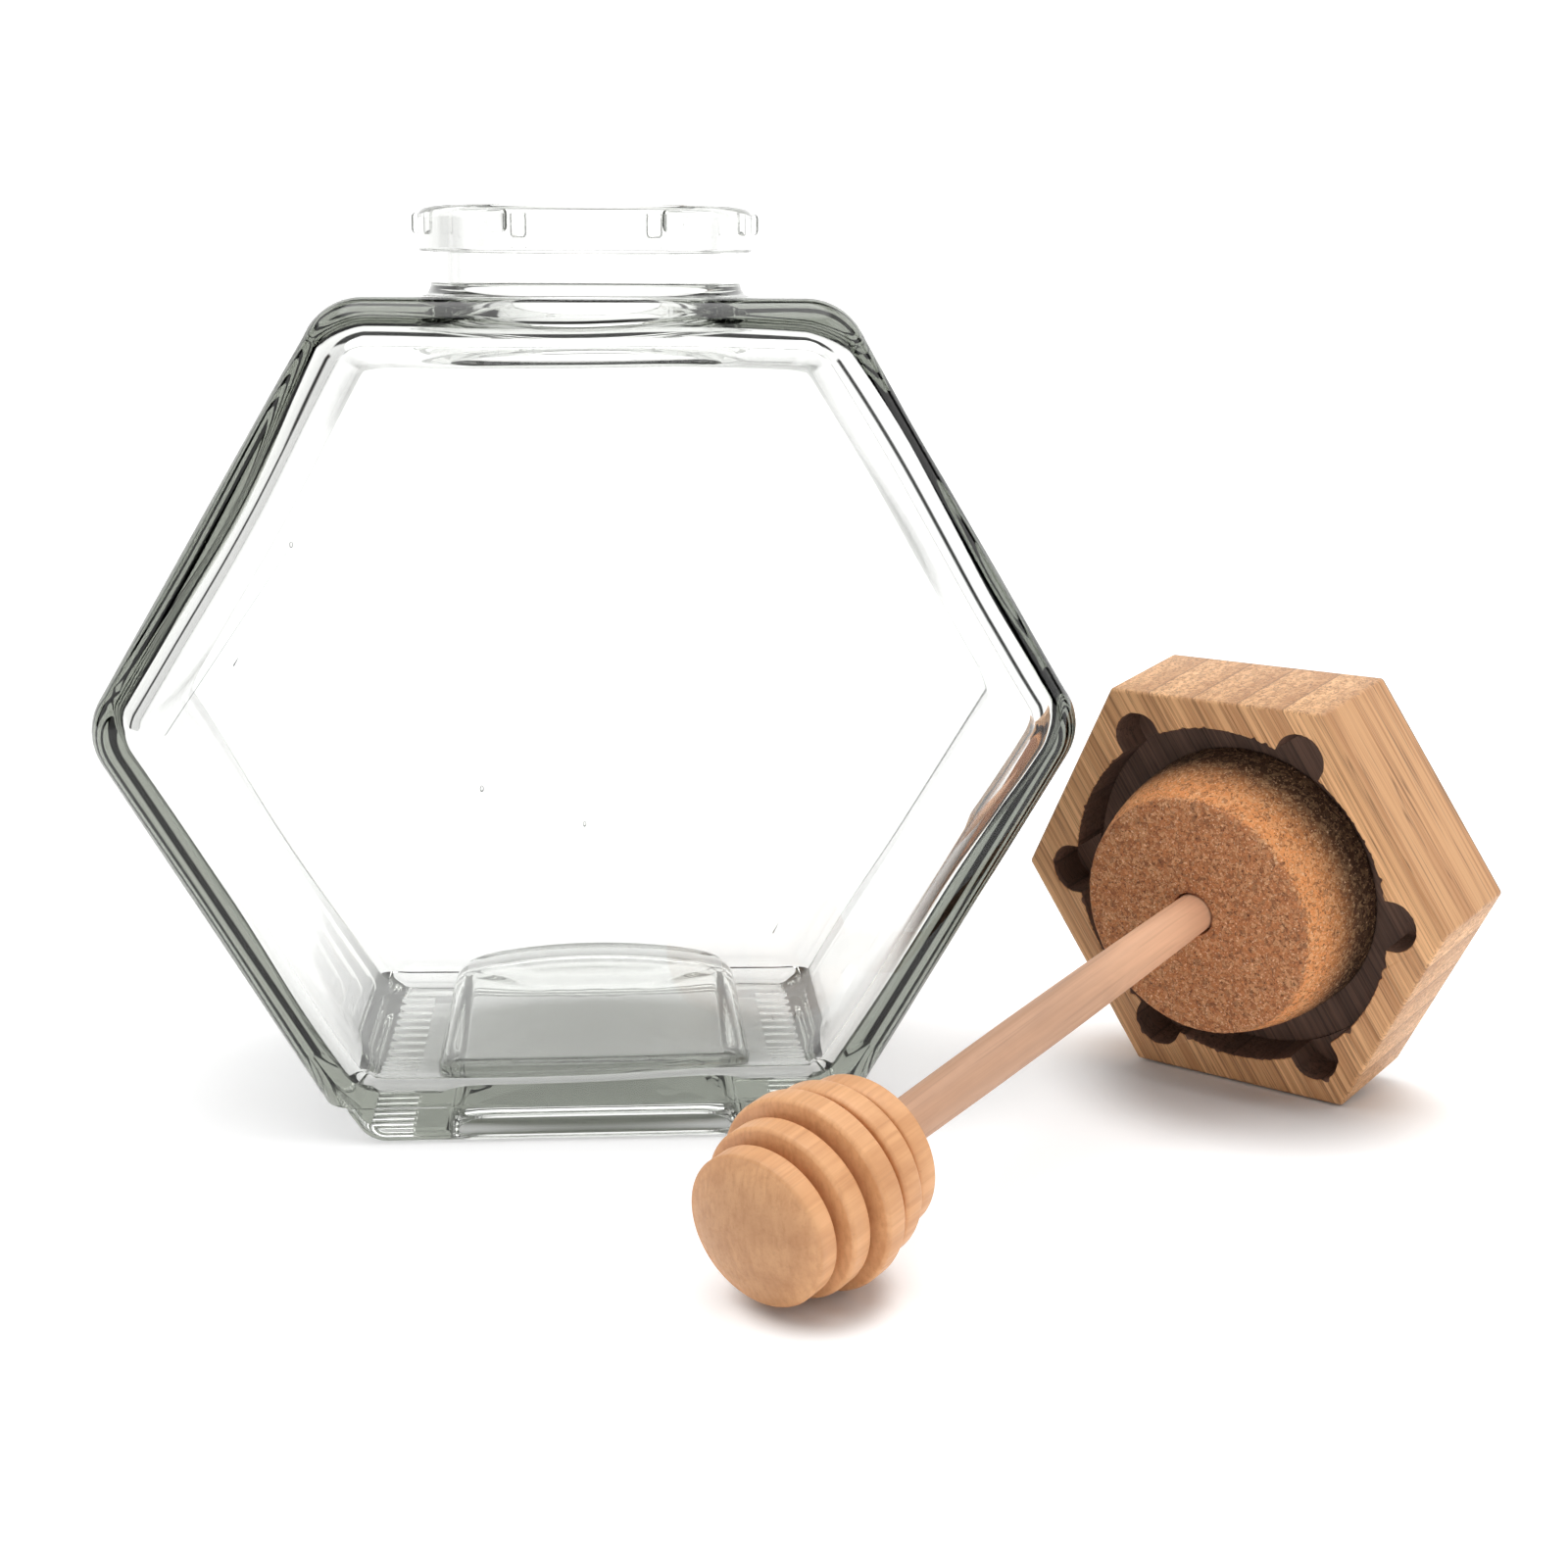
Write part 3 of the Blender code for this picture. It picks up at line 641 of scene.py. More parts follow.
def paper_material(settings):
    """Overexposed white paper with painted shadows: its glow fades out where a piece stands on it."""
    paper, tree, shader = new_material("white_paper")
    tone = (settings.floor_tone, settings.floor_tone, settings.floor_tone)
    coordinates = tree.nodes.new("ShaderNodeTexCoord").outputs["Object"]
    # near holds a painted shadow for each piece: 0 at the piece, rising to 1 away from it
    near = {}
    for cad, wide, deep, far in PAINTED_PAPER_SHADOWS:
        low, high = (Vector(corner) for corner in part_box(cad))
        size = (high - low) / 2
        placed = add_node(tree, "ShaderNodeMapping",
                          {"Location": ((low.x + high.x) / 2, (low.y + high.y) / 2, 0.0),
                           "Scale": (size.x * wide, size.y * deep, 1.0), "Vector": coordinates},
                          vector_type="TEXTURE")
        distance = vector_node(tree, "LENGTH", {0: placed.outputs[0]})["Value"]
        near[cad] = ramp_value(tree, distance, 0.8, far)
    # Painted contact shadows: the floor's even glow fades out under the head, the lid and the jar
    glow_with_painted_shadows = math_node(tree, "MULTIPLY", near["dipper_head"], near["lid"])
    glow_with_painted_shadows = math_node(tree, "MULTIPLY", near["jar"], glow_with_painted_shadows)
    # Painted shadow: under the glass jar the paper's colour turns to the painted grey-green shade
    set_inputs(tree, shader, {"Base Color": mixed(tree, near["jar"], tuple(settings.painted_jar_shadow), tone),
                              "Roughness": 0.9,
                              "Emission Color": mixed(tree, glow_with_painted_shadows, BLACK, WHITE),
                              "Emission Strength": settings.floor_glow})
    return paper


class HONEYJAR_OT_stage(Operator):
    """Build the white floor, the soft light and the camera"""
    bl_idname = "honeyjar.stage"
    bl_label = "Stage"

    def execute(self, context):
        settings = context.scene.honeyjar_stage
        scene = context.scene
        half = settings.floor_size / 2
        bm = bmesh.new()
        bmesh.ops.create_grid(bm, x_segments=1, y_segments=1, size=half)
        floor = object_from(bm, "floor")
        floor.location.z = -FLOOR_DROP
        floor.data.materials.append(paper_material(settings))
        build_surroundings(scene, settings)
        place_camera(scene)
        return {"FINISHED"}


def build_surroundings(scene, settings):
    """White room, brighter overhead, with black screens that draw the glass's dark edges.

    Heights are the Z of the direction looked in, from 0 at the horizon to 1 overhead.
    """
    world = bpy.data.worlds.new("white_surroundings")
    world.use_nodes = True
    tree = world.node_tree
    direction = tree.nodes.new("ShaderNodeTexCoord")
    axes = axes_of(tree, direction.outputs["Generated"])
    up = axes["Z"]
    side = math_node(tree, "ABSOLUTE", axes["X"])
    ahead = math_node(tree, "ABSOLUTE", axes["Y"])
    turn = math_node(tree, "ARCTAN2", side, ahead)
    off = math_node(tree, "ABSOLUTE", math_node(tree, "SUBTRACT", turn, settings.screen_angle))
    screen = ramp_value(tree, off, 0.9 * settings.screen_width, 0.25 * settings.screen_width)
    screen = math_node(tree, "MULTIPLY", screen, ramp_value(tree, up, 0.6, 0.5))
    canopy = math_node(tree, "MULTIPLY", ramp_value(tree, up, 0.64, 0.69), ramp_value(tree, up, 0.86, 0.82))
    canopy = math_node(tree, "MULTIPLY", canopy, ramp_value(tree, turn, 0.95, 0.75))
    dark = math_node(tree, "MAXIMUM", screen, canopy)
    slope = math_node(tree, "ADD", math_node(tree, "MULTIPLY", axes["X"], 0.22),
                      math_node(tree, "MULTIPLY", axes["Y"], 0.30))
    level = math_node(tree, "MULTIPLY", math_node(tree, "ADD", slope, 1.0), settings.sky_strength)
    overhead = ramp_value(tree, up, 0.84, 0.92, 0.0, settings.overhead_strength)
    level = math_node(tree, "ADD", level, overhead)
    set_inputs(tree, tree.nodes["Background"],
               {"Color": mixed(tree, dark, WHITE, SCREEN_BLACK), "Strength": level})
    scene.world = world
    scene.view_settings.view_transform = "Standard"
    scene.cycles.max_bounces = 32
    scene.cycles.transmission_bounces = 32
    scene.cycles.glossy_bounces = 12


def place_camera(scene):
    camera = bpy.data.cameras.new("camera")
    camera.lens = FOCAL_LENGTH
    camera.sensor_width = SENSOR_WIDTH
    item = bpy.data.objects.new("camera", camera)
    scene.collection.objects.link(item)
    pitch, yaw, roll = CAMERA_PITCH, CAMERA_YAW, CAMERA_ROLL
    ahead = Vector((math.sin(yaw) * math.cos(pitch), math.cos(yaw) * math.cos(pitch), -math.sin(pitch)))
    right = Vector((math.cos(yaw), -math.sin(yaw), 0.0))
    down = ahead.cross(right)
    rolled = right * math.cos(roll) + down * math.sin(roll)
    down = ahead.cross(rolled)
    turn = Matrix((rolled, -down, -ahead)).transposed()
    item.matrix_world = Matrix.Translation(jar_place() + CAMERA_PLACE) @ turn.to_4x4()
    scene.camera = item


def end_tree(tree, source, sink, geometry):
    """End a Geometry Nodes tree with plain geometry in the given material."""
    real = add_node(tree, "GeometryNodeRealizeInstances", {"Geometry": geometry})
    paint = add_node(tree, "GeometryNodeSetMaterial",
                     {"Geometry": real.outputs[0], "Material": source.outputs["Material"]})
    tree.links.new(paint.outputs[0], sink.inputs["Geometry"])
    return tree


def run_tree(item, tree, values):
    """Shape an object with a Geometry Nodes tree and its named inputs, as one plain mesh."""
    sockets = [entry for entry in tree.interface.items_tree if entry.in_out == "INPUT"]
    keys = {socket.name: socket.identifier for socket in sockets}
    modifier = item.modifiers.new(tree.name, "NODES")
    modifier.node_group = tree
    for label, value in values.items():
        modifier[keys[label]] = value
    return settle(item)


def repeat_tree():
    """Geometry Nodes that repeat a piece along a step, about a turn, or both."""
    tree = bpy.data.node_groups.get("repeated_piece")
    if tree:
        return tree
    tree, source, sink = new_group(
        "repeated_piece", "GeometryNodeTree",
        [("Geometry", "NodeSocketGeometry", None), ("Count", "NodeSocketInt", 6),
         ("Step", "NodeSocketVector", None), ("Turn", "NodeSocketFloat", 0.0),
         ("Material", "NodeSocketMaterial", None)],
        [("Geometry", "NodeSocketGeometry")])
    given = source.outputs
    index = tree.nodes.new("GeometryNodeInputIndex").outputs[0]
    place = vector_node(tree, "SCALE", {0: given["Step"], "Scale": index})[0]
    points = add_node(tree, "GeometryNodePoints", {"Count": given["Count"], "Position": place})
    turn = add_node(tree, "ShaderNodeCombineXYZ", {"Z": math_node(tree, "MULTIPLY", index, given["Turn"])})
    copies = add_node(tree, "GeometryNodeInstanceOnPoints",
                      {"Points": points.outputs[0], "Instance": given["Geometry"],
                       "Rotation": turn.outputs[0]})
    return end_tree(tree, source, sink, copies.outputs[0])


def repeated(item, count, step=(0.0, 0.0, 0.0), turn=0.0):
    """Repeat an object's mesh with the tree."""
    return run_tree(item, repeat_tree(), {"Count": count, "Step": step, "Turn": turn})


def rounded_block(name, size, place, edge):
    """Block with round edges."""
    bm = bmesh.new()
    bmesh.ops.create_cube(bm, size=1.0, matrix=Matrix.Translation(place) @ Matrix.Diagonal((*size, 1.0)))
    bmesh.ops.bevel(bm, geom=bm.edges[:], offset=edge, segments=4, profile=0.5, affect="EDGES")
    return object_from(bm, name)


def ridge_grooves():
    """Round grooves that leave a strip of cross ridges on each side of the foot."""
    lying = Matrix.Rotation(math.pi / 2, 4, "Y")
    bm = bmesh.new()
    for side in (-1, 1):
        first = (side * GROOVE_PLACE, -GROOVE_PITCH * (GROOVE_COUNT - 1) / 2, GROOVE_DEPTH - GROOVE_RADIUS)
        bmesh.ops.create_cone(bm, cap_ends=True, segments=40, radius1=GROOVE_RADIUS, radius2=GROOVE_RADIUS,
                              depth=GROOVE_LENGTH, matrix=Matrix.Translation(first) @ lying)
    return repeated(object_from(bm, "ridge_grooves"), GROOVE_COUNT, step=(0.0, GROOVE_PITCH, 0.0))


def neck_lugs():
    """Six small rounded lugs just under the rim."""
    length = LUG_REACH - FLANGE_RADIUS + OVERCUT
    place = (LUG_REACH - length / 2, 0.0, RIM_HEIGHT - LUG_DROP - LUG_TALL / 2)
    lug = rounded_block("neck_lugs", (length, LUG_WIDTH, LUG_TALL), place, LUG_EDGE)
    return repeated(lug, LUG_COUNT, turn=math.pi / 3)


def flatten_shading(item, tolerance=1e-6):
    """Give the flat faces across Y and Z their true normals, so that no seam shows in the glass."""
    mesh = item.data
    normals = [Vector(corner.vector) for corner in mesh.corner_normals]
    flat = {}
    for face in mesh.polygons:
        spots = [mesh.vertices[i].co for i in face.vertices]
        for axis in (1, 2):
            spread = max(spot[axis] for spot in spots) - min(spot[axis] for spot in spots)
            if spread < tolerance and abs(face.normal[axis]) > 0.9:
                normal = Vector((0.0, 0.0, 0.0))
                normal[axis] = math.copysign(1.0, face.normal[axis])
                for corner, vertex in zip(face.loop_indices, face.vertices):
                    normals[corner] = normal
                    flat.setdefault(vertex, normal)
    for face in mesh.polygons:
        for corner, vertex in zip(face.loop_indices, face.vertices):
            normal = flat.get(vertex)
            if normal and face.normal.dot(normal) > 0.85:
                normals[corner] = normal
    mesh.normals_split_custom_set(normals)


class HONEYJAR_OT_glass(Operator):
    """Build the glass jar"""
    bl_idname = "honeyjar.glass"
    bl_label = "Glass jar"

    def execute(self, context):
        settings = context.scene.honeyjar_glass
        jar = build_glass(settings)
        jar.data.materials.clear()
        jar.data.materials.append(glass_material(settings))
        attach(jar, BODY)
        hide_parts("jar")
        return {"FINISHED"}


def inner_wave(amplitude):
    """Gentle unevenness of the inner wall, as a function of place."""
    def wave(place):
        slow = noise.noise(place * 34.0 + Vector((0.0, 0.0, 2.0)))
        quick = noise.noise(place * 90.0 + Vector((3.1, 7.7, 1.9)))
        return amplitude * (slow + 0.05 * quick - 0.3)
    return wave


def add_bubbles(jar, wall):
    """Tiny air bubbles caught in the front wall, as closed hollows."""
    bm = bmesh.new()
    bm.from_mesh(jar.data)
    for x, z, radius in BUBBLES:
        place = Matrix.Translation((x * MM, wall / 2 - JAR_DEPTH / 2, z * MM))
        stretch = Matrix.Diagonal((0.8, 0.6, 1.3, 1.0))
        made = bmesh.ops.create_icosphere(bm, subdivisions=2, radius=radius * MM, matrix=place @ stretch)
        faces = {face for vertex in made["verts"] for face in vertex.link_faces}
        bmesh.ops.reverse_faces(bm, faces=list(faces))
    bm.to_mesh(jar.data)
    bm.free()


def outer_body(settings):
    """Outside of the jar below its neck: the moulded hexagon on its drawn-in foot."""
    middle = JAR_HEIGHT / 2
    end_x = HALF_WIDTH - middle / HEX_LEAN
    outline = rounded_outline([(end_x, 0.0, CORNER_RADIUS), (HALF_WIDTH, middle, CORNER_RADIUS),
                               (end_x, JAR_HEIGHT, CORNER_RADIUS)], 14)
    jar = slab("glass_jar", outline, JAR_DEPTH, settings.edge_radius, 8)
    bm = bmesh.new()
    bm.from_mesh(jar.data)
    cut = bmesh.ops.bisect_plane(bm, geom=bm.verts[:] + bm.edges[:] + bm.faces[:],
                                 plane_co=(0, 0, MOULD_LINE), plane_no=(0, 0, -1), clear_outer=True)
    bmesh.ops.edgeloop_fill(bm, edges=[e for e in cut["geom_cut"] if isinstance(e, bmesh.types.BMEdge)])
    bmesh.ops.recalc_face_normals(bm, faces=bm.faces)
    bm.to_mesh(jar.data)
    bm.free()

    foot_top_x = FOOT_WIDTH / 2 + FOOT_FORM_TOP / math.tan(FOOT_LEAN)
    outline = rounded_outline([(FOOT_WIDTH / 2, 0.0, FOOT_CORNER_RADIUS),
                               (foot_top_x, FOOT_FORM_TOP, FOOT_FORM_RADIUS)], 10)
    combine(jar, slab("foot_form", outline, JAR_DEPTH - 2 * FOOT_STEP, FOOT_EDGE_RADIUS, 6), "UNION")
    return jar


def inner_hollow(settings):
    middle = JAR_HEIGHT / 2
    lean = math.atan(1 / HEX_LEAN)
    side_x = HALF_WIDTH - settings.wall / math.cos(lean)
    foot_x = HALF_WIDTH - (middle - settings.floor_height) / HEX_LEAN - settings.heel_wall / math.cos(lean)
    top = JAR_HEIGHT - settings.top_wall
    top_x = side_x - (top - middle) / HEX_LEAN
    outline = rounded_outline([(foot_x, settings.floor_height, HOLLOW_CORNER_RADIUS),
                               (side_x, middle, HOLLOW_CORNER_RADIUS),
                               (top_x, top, HOLLOW_CORNER_RADIUS)], 12, 2.0 * MM)
    return slab("hollow", outline, JAR_DEPTH - 2 * settings.wall, HOLLOW_EDGE_RADIUS, 9,
                inner_wave(settings.waviness))


def build_glass(settings):
    jar = outer_body(settings)
    combine(jar, inner_hollow(settings), "DIFFERENCE")
    combine(jar, domed_block("floor_pad", *FLOOR_PAD), "UNION")
    combine(jar, domed_block("push_up", *PUSH_UP), "DIFFERENCE")
    combine(jar, ridge_grooves(), "DIFFERENCE")
    combine(jar, turned("neck_form", neck_outline(), 144), "UNION")
    combine(jar, neck_lugs(), "UNION")
    combine(jar, turned("bore", bore_outline(), 144), "DIFFERENCE")
    add_bubbles(jar, settings.wall)
    mesh = jar.data
    mesh.transform(Matrix.Translation(jar_place()))
    mesh.shade_smooth()
    mesh.set_sharp_from_angle(angle=math.radians(35))
    weighted = jar.modifiers.new("flat faces", "WEIGHTED_NORMAL")
    weighted.mode = "FACE_AREA"
    weighted.weight = 90
    weighted.keep_sharp = True
    settle(jar)
    flatten_shading(jar)
    return jar


def recess_edge(angle):
    """Distance from the lid's middle to the routed edge, with its six round notches."""
    turn = (angle + math.pi / LUG_COUNT) % (2 * math.pi / LUG_COUNT) - math.pi / LUG_COUNT
    reach = RECESS_RADIUS
    off = NOTCH_CENTRE * math.sin(abs(turn))
    if off < NOTCH_RADIUS:
        reach = max(reach, NOTCH_CENTRE * math.cos(turn) + math.sqrt(NOTCH_RADIUS ** 2 - off ** 2))
    return reach


def lid_block():
    """Hexagonal block whose corners and edges are slightly rounded."""
    outline = []
    corner = 0.6 * MM
    reach = LID_ACROSS_CORNERS / 2 - LID_CORNER_LOSS
    for i in range(6):
        start = math.radians(60 * i)
        middle = Vector((math.cos(start), math.sin(start))) * (reach - corner / math.cos(math.pi / 6))
        for step in range(6):
            angle = start + math.radians(-30 + 12 * step)
            arm = Vector((math.cos(angle), math.sin(angle)))
            outline.append((middle + arm * corner, arm))
    bm = bmesh.new()
    levels = []
    edge = 0.5 * MM
    for side in (-1, 1):
        for step in range(5):
            k = step if side < 0 else 4 - step
            angle = math.pi / 2 * (1 - k / 4)
            inset = edge * (1 - math.cos(angle))
            height = -LID_THICKNESS / 2 + side * (LID_THICKNESS / 2 - edge + edge * math.sin(angle))
            levels.append([bm.verts.new((*(point - normal * inset), height)) for point, normal in outline])
    return capped(bm, levels, "bamboo_lid")


def routed_cutter():
    """Cutter of the notched recess, wider and ragged where it tears the face's edge."""
    steps = 720
    bm = bmesh.new()
    rings = []
    for height, spread, tear in TORN_LEVELS:
        ring = []
        for i in range(steps):
            angle = 2 * math.pi * i / steps
            arm = Vector((math.cos(angle), math.sin(angle), 0.0))
            ragged = noise.noise(arm * 55.0) * 0.16 + max(0.0, noise.noise(arm * 21.0) - 0.22) * 1.5
            reach = recess_edge(angle) + (spread + tear * ragged) * MM * 0.8
            ring.append(bm.verts.new(arm * reach + Vector((0.0, 0.0, height))))
        rings.append(ring)
    return capped(bm, rings, "routed_edge")


def build_lid():
    lid = lid_block()
    combine(lid, routed_cutter(), "DIFFERENCE")
    flattening = 0.02 * MM
    floor = flattening - RECESS_DEPTH
    outline = [(0.0, OVERCUT), (RECESS_RADIUS, OVERCUT), (RECESS_RADIUS, floor), (0.0, floor)]
    combine(lid, turned("recess_floor", outline, 360), "DIFFERENCE")
    return lid


def in_recess(middle):
    """True for a point on the wall or floor of the lid's recess."""
    margin = 0.5 * MM
    below_face = -0.1 * MM
    reach = recess_edge(math.atan2(middle.y, middle.x)) + margin
    return middle.xy.length < reach and -RECESS_DEPTH - MM < middle.z < below_face


class HONEYJAR_OT_lid(Operator):
    """Build the bamboo lid with its routed recess"""
    bl_idname = "honeyjar.lid"
    bl_label = "Bamboo lid"

    def execute(self, context):
        settings = context.scene.honeyjar_wood
        lid = build_lid()
        recess_scorch_and_shade = tuple(settings.recess_scorch_and_shade)
        lid.data.materials.clear()
        lid.data.materials.append(bamboo_material("laminated_bamboo", settings, tuple(settings.bamboo_light),
                                                  tuple(settings.bamboo_dark), 0.5))
        # The recess's material is dark partly from scorch, partly as painted shade
        lid.data.materials.append(bamboo_material("scorched_and_shaded_bamboo", settings, recess_scorch_and_shade,
                                                  tuple(0.5 * c for c in recess_scorch_and_shade), 0.62))
        for face in lid.data.polygons:
            face.material_index = 1 if in_recess(face.center) else 0
        lid.data.transform(lid_frame())
        lid.data.shade_smooth()
        lid.data.set_sharp_from_angle(angle=math.radians(38))
        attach(lid, BODY)
        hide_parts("lid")
        return {"FINISHED"}


def build_cork(settings):
    """Dense turned cork whose surface follows the granules."""
    base = GAP - RECESS_DEPTH
    edge = 0.5 * MM
    side_top = CORK_STANDOFF - edge
    taper = CORK_BASE_RADIUS - CORK_END_RADIUS
    end_steps, side_steps = 44, 36
    points = [(CORK_END_RADIUS * i / end_steps - edge * i / end_steps, CORK_STANDOFF)
              for i in range(end_steps)]
    points += arc((CORK_END_RADIUS - edge, side_top), edge, 90, 0, 5)
    for i in range(1, side_steps + 1):
        fall = 1 - i / side_steps
        points.append((CORK_BASE_RADIUS - taper * fall ** CORK_SWELL, base + (side_top - base) * fall))
    points.append((0.0, base))
    cork = turned("pressed_cork_plug", points, 260)
    mesh = cork.data
    relief = settings.relief
    # Without a seed, noise_vector takes its offsets from the clock
    noise.seed_set(NOISE_SEED)
    offset = Vector((4.0, 9.0, 2.0))
    normals = [vertex.normal.copy() for vertex in mesh.vertices]
    for vertex, normal in zip(mesh.vertices, normals):
        spot = vertex.co / settings.granule + offset
        distances, _ = noise.voronoi(spot + noise.noise_vector(spot * 0.8) * 0.7)
        pit = max(0.0, 0.16 - (distances[1] - distances[0])) / 0.16
        fine = noise.noise(spot * 2.7)
        vertex.co -= normal * relief * (pit + 0.45 * (1 + fine))
    return cork


class HONEYJAR_OT_cork(Operator):
    """Build the pressed cork plug"""
    bl_idname = "honeyjar.cork"
    bl_label = "Cork"

    def execute(self, context):
        settings = context.scene.honeyjar_cork
        cork = build_cork(settings)
        cork.data.transform(lid_frame())
        cork.data.shade_smooth()
        hole = turned("socket", [(0.0, OVERCUT), (STICK_END_RADIUS + GAP, OVERCUT),
                                 (STICK_END_RADIUS + GAP, -STICK_SOCKET), (0.0, -STICK_SOCKET)], 48)
        hole.data.transform(dipper_frame())
        combine(cork, hole, "DIFFERENCE")
        cork.data.materials.clear()
        cork.data.materials.append(cork_material(settings))
        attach(cork, BODY)
        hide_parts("cork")
        return {"FINISHED"}


def head_back():
    """Distance from the cork's end to the flat back of the head's last disc."""
    return FIRST_DISC - (len(DISC_RADII) - 1) * DISC_PITCH - DISC_WIDTH / 2


def head_profile():
    """Head from its domed tip back to the stick, as discs with grooves between them."""
    half = DISC_WIDTH / 2
    edge = 0.5 * MM
    groove = 3.4 * MM
    dome_rise = 1.85 * MM
    cap_radius = DISC_RADII[0] - edge
    dome_radius = (cap_radius ** 2 + dome_rise ** 2) / (2 * dome_rise)
    spread = math.degrees(math.asin(cap_radius / dome_radius))
    points = arc((0, FIRST_DISC + half + dome_rise - dome_radius), dome_radius, 90, 90 - spread, 24)
    points[0] = (0.0, points[0][1])
    for i, radius in enumerate(DISC_RADII):
        centre = FIRST_DISC - i * DISC_PITCH
        core = radius - groove
        root = 0.25 * MM
        if i == 0:
            points += arc((radius - edge, centre + half - edge), edge, 75, 0, 5)
        else:
            points += arc((core + root, centre + half + root), root, 180, 270, 4)
            points += arc((radius - edge, centre + half - edge), edge, 90, 0, 6)
        points += arc((radius - edge, centre - half + edge), edge, 0, -90, 6)
        if i < len(DISC_RADII) - 1:
            next_core = DISC_RADII[i + 1] - groove
            points.append((core + root, centre - half))
            points.append((core, centre - half - root))
            points.append((next_core, centre - DISC_PITCH + half + root))
    back = head_back() - HEAD_COLLAR
    return points + [(STICK_RADIUS + 1.2 * MM, back), (STICK_END_RADIUS + 0.05 * MM, back)]


def lathe_tree():
    """Geometry Nodes lathe: sweeps a profile line about Z and adds fine tool marks.

    The marks are left off where the piece is no wider than a stick.
    """
    tree, source, sink = new_group(
        "turned_on_a_lathe", "GeometryNodeTree",
        [("Geometry", "NodeSocketGeometry", None), ("Steps Around", "NodeSocketInt", 160),
         ("Tool Mark Depth", "NodeSocketFloat", 0.04 * MM), ("Tool Mark Pitch", "NodeSocketFloat", 0.45 * MM),
         ("Seed", "NodeSocketInt", 3), ("Material", "NodeSocketMaterial", None)],
        [("Geometry", "NodeSocketGeometry")])
    given = source.outputs
    count = add_node(tree, "GeometryNodeAttributeDomainSize", {"Geometry": given["Geometry"]})
    count = count.outputs["Point Count"]
    grid = add_node(tree, "GeometryNodeMeshGrid",
                    {"Size X": 1.0, "Size Y": 1.0, "Vertices X": given["Steps Around"], "Vertices Y": count})

    place = tree.nodes.new("GeometryNodeInputPosition").outputs[0]
    spot = axes_of(tree, place)
    row = math_node(tree, "MULTIPLY", math_node(tree, "ADD", spot["Y"], 0.5),
                    math_node(tree, "SUBTRACT", count, 1.0))
    sample = add_node(tree, "GeometryNodeSampleIndex",
                      {"Geometry": given["Geometry"], "Value": place, "Index": math_node(tree, "ROUND", row)},
                      data_type="FLOAT_VECTOR")
    profile = axes_of(tree, sample.outputs[0])
    height = profile["Z"]
    wobble = add_node(tree, "ShaderNodeTexNoise", {"Scale": 2.2, "W": given["Seed"], "Vector": place},
                      noise_dimensions="4D")
    phase = math_node(tree, "MULTIPLY", math_node(tree, "DIVIDE", height, given["Tool Mark Pitch"]), 6.283)
    wander = math_node(tree, "MULTIPLY", wobble.outputs["Fac"], 4.0)
    marks = math_node(tree, "SINE", math_node(tree, "ADD", phase, wander))
    marks = math_node(tree, "MULTIPLY", math_node(tree, "SUBTRACT", marks, 1.0), given["Tool Mark Depth"])
    wide = math_node(tree, "GREATER_THAN", profile["X"], MARKED_RADIUS)
    radius = math_node(tree, "ADD", profile["X"], math_node(tree, "MULTIPLY", marks, wide))
    angle = math_node(tree, "MULTIPLY", spot["X"], 2 * math.pi)
    point = add_node(tree, "ShaderNodeCombineXYZ",
                     {"X": math_node(tree, "MULTIPLY", radius, math_node(tree, "COSINE", angle)),
                      "Y": math_node(tree, "MULTIPLY", radius, math_node(tree, "SINE", angle)), "Z": height})
    moved = add_node(tree, "GeometryNodeSetPosition",
                     {"Geometry": grid.outputs["Mesh"], "Position": point.outputs[0]})
    closed = add_node(tree, "GeometryNodeMergeByDistance",
                      {"Distance": 0.001 * MM, "Geometry": moved.outputs[0]})
    return end_tree(tree, source, sink, closed.outputs[0])


def lathe(name, profile, steps, mark_depth, material):
    """Piece turned about Z by the lathe tree, as one plain closed mesh."""
    mesh = bpy.data.meshes.new(name)
    mesh.from_pydata([(radius, 0.0, height) for radius, height in profile],
                     [(i, i + 1) for i in range(len(profile) - 1)], [])
    item = run_tree(new_object(name, mesh), lathe_tree(),
                    {"Steps Around": steps, "Tool Mark Depth": mark_depth, "Material": material})
    bm = bmesh.new()
    bm.from_mesh(item.data)
    bmesh.ops.dissolve_degenerate(bm, dist=0.001 * MM, edges=bm.edges)
    bmesh.ops.recalc_face_normals(bm, faces=bm.faces)
    bm.to_mesh(item.data)
    bm.free()
    return item


def stick_profile():
    """Stick from inside the head back to inside the cork, a little stouter in its middle."""
    shown = head_back() - HEAD_COLLAR
    top = head_back() + STICK_SOCKET - GAP
    steps = 60
    points = [(0.0, top), (STICK_END_RADIUS, top)]
    for i in range(steps + 1):
        along = 1 - i / steps
        swell = (STICK_RADIUS - STICK_END_RADIUS) * math.sin(math.pi * along)
        points.append((STICK_END_RADIUS + swell, shown * along))
    return points + [(STICK_END_RADIUS, GAP - STICK_SOCKET), (0.0, GAP - STICK_SOCKET)]


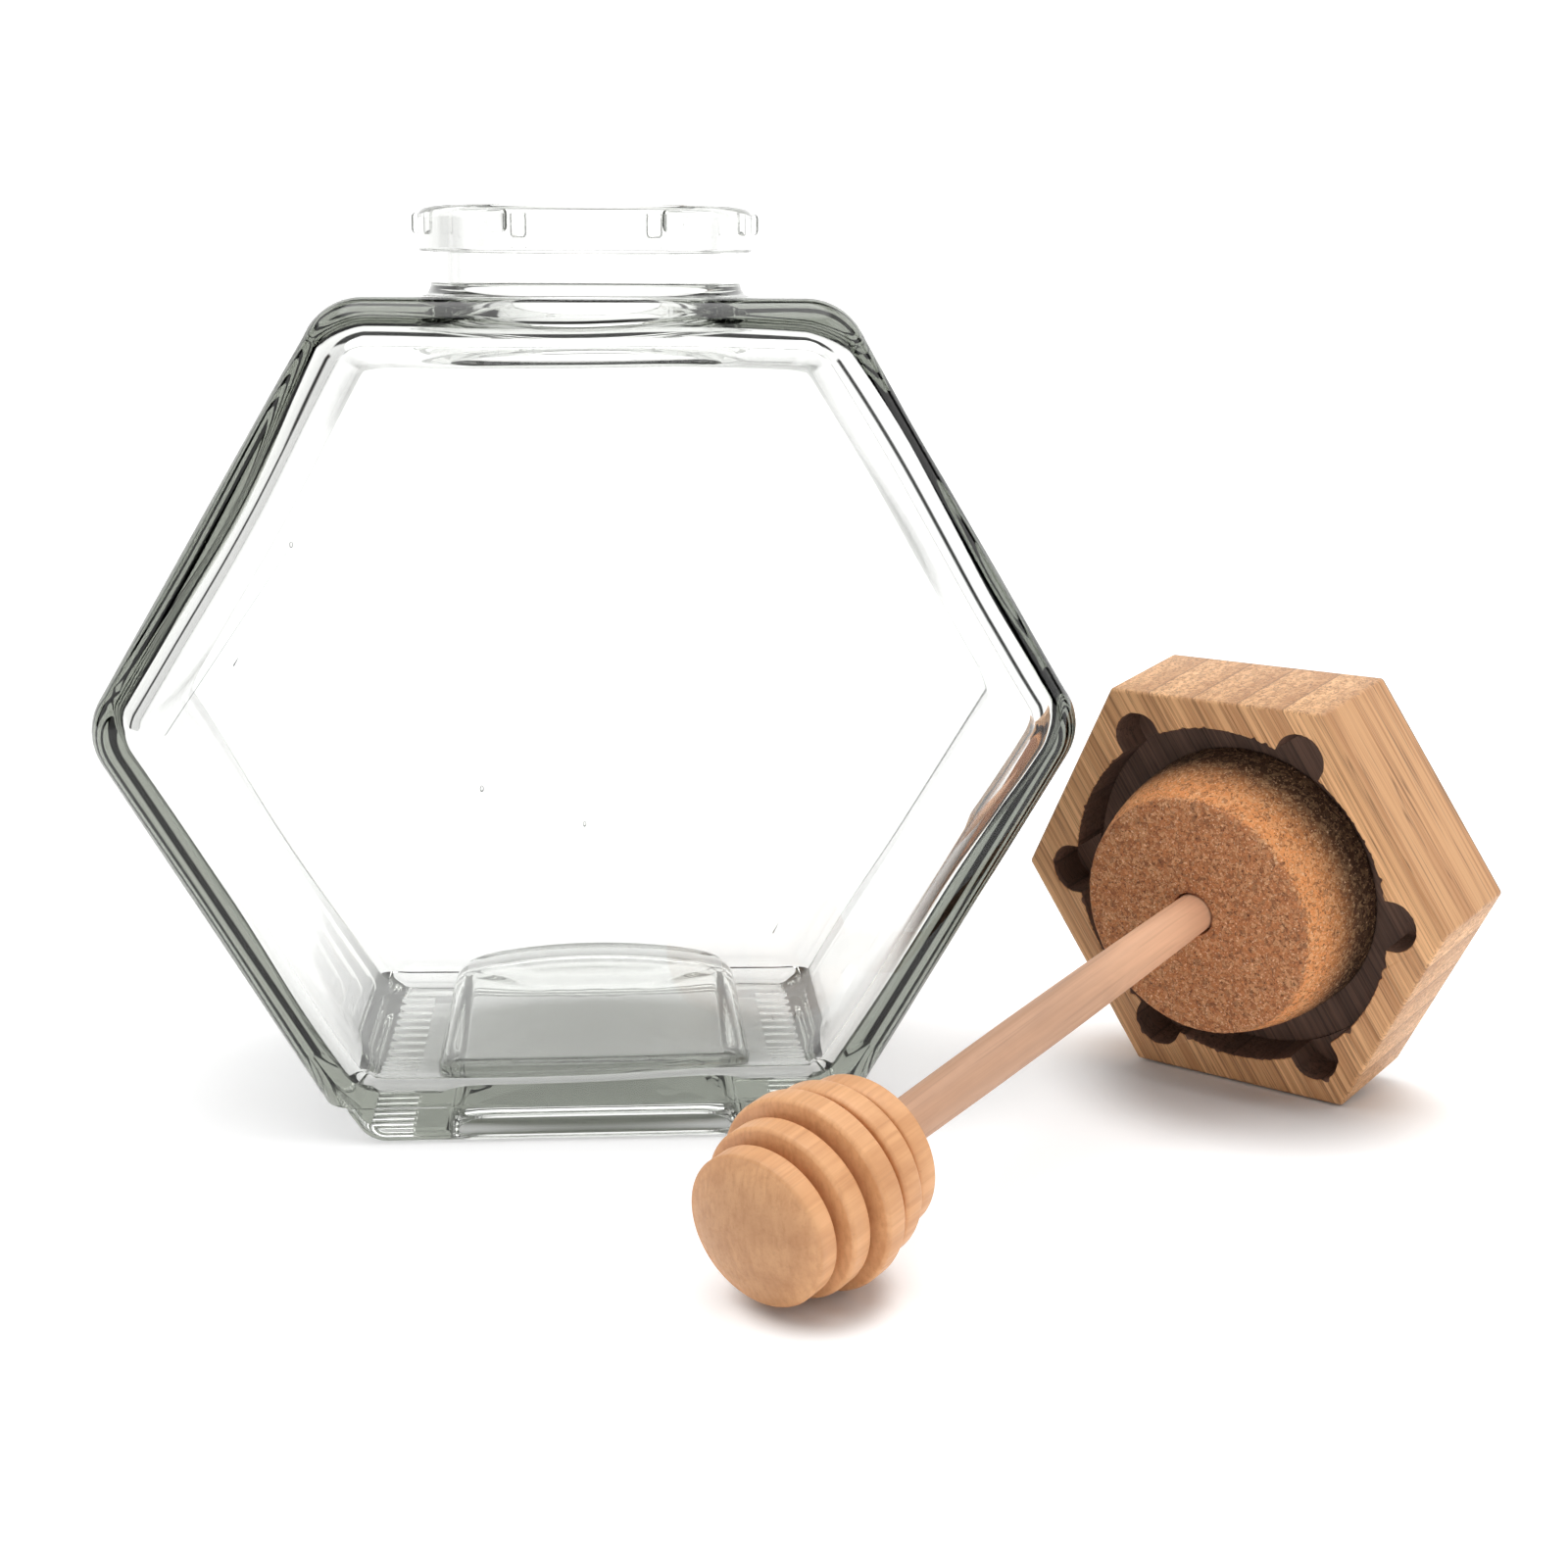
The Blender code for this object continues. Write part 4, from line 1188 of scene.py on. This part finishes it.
class HONEYJAR_OT_dipper(Operator):
    """Build the dipper: a turned head of five discs on its stick"""
    bl_idname = "honeyjar.dipper"
    bl_label = "Dipper"

    def execute(self, context):
        settings = context.scene.honeyjar_wood
        place = dipper_frame()
        grain = place @ Matrix.Rotation(math.pi / 2, 4, "X")
        # Painted light and shade on the head: its discs lighter, its domed tip darker
        wood = turned_wood_material("turned_beech", tuple(settings.head_light), tuple(settings.head_dark),
                                    grain, 0.15, 0.45,
                                    (FIRST_DISC / MM, FIRST_DISC / MM + 3.0, 1.12, 0.78))
        head = lathe("turned_head", head_profile(), 161, 0.015 * MM, wood)
        stick_tone = tuple(settings.stick_tone)
        # Painted light and shade on the stick: lighter near the cork, darker towards the head
        stick_wood = turned_wood_material("pale_stick_wood", stick_tone, tuple(0.72 * c for c in stick_tone),
                                          grain, 0.3, 0.5, (6.0, 34.0, 1.3, 0.84))
        stick = lathe("turned_stick", stick_profile(), 65, 0.004 * MM, stick_wood)
        for item, cad, slot in ((head, "dipper_head", "turned_beech"),
                                (stick, "dipper_stick", "pale_stick_wood")):
            item.data.transform(place)
            item.data.shade_smooth()
            item.data.set_sharp_from_angle(angle=math.radians(40))
            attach(item, BODY)
            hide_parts(cad)
        return {"FINISHED"}


class HONEYJAR_PT_panel(Panel):
    bl_label = "Honey Jar"
    bl_idname = "HONEYJAR_PT_panel"
    bl_space_type = "VIEW_3D"
    bl_region_type = "UI"
    bl_category = "Honey Jar"

    def draw(self, context):
        for item in OPERATORS:
            self.layout.operator(item.bl_idname)


OPERATORS = [HONEYJAR_OT_stage, HONEYJAR_OT_glass, HONEYJAR_OT_lid, HONEYJAR_OT_cork, HONEYJAR_OT_dipper]
SETTINGS = {"honeyjar_glass": HoneyJarGlassSettings, "honeyjar_wood": HoneyJarWoodSettings,
            "honeyjar_cork": HoneyJarCorkSettings, "honeyjar_stage": HoneyJarStageSettings}
CLASSES = list(SETTINGS.values()) + OPERATORS + [HONEYJAR_PT_panel]


def register():
    for item in CLASSES:
        bpy.utils.register_class(item)
    for name, group in SETTINGS.items():
        setattr(bpy.types.Scene, name, PointerProperty(type=group))


def unregister():
    for name in SETTINGS:
        delattr(bpy.types.Scene, name)
    for item in reversed(CLASSES):
        bpy.utils.unregister_class(item)


def main():
    register()
    bpy.ops.honeyjar.stage()
    bpy.ops.honeyjar.glass()
    bpy.ops.honeyjar.lid()
    bpy.ops.honeyjar.cork()
    bpy.ops.honeyjar.dipper()


if __name__ == "__main__":
    main()
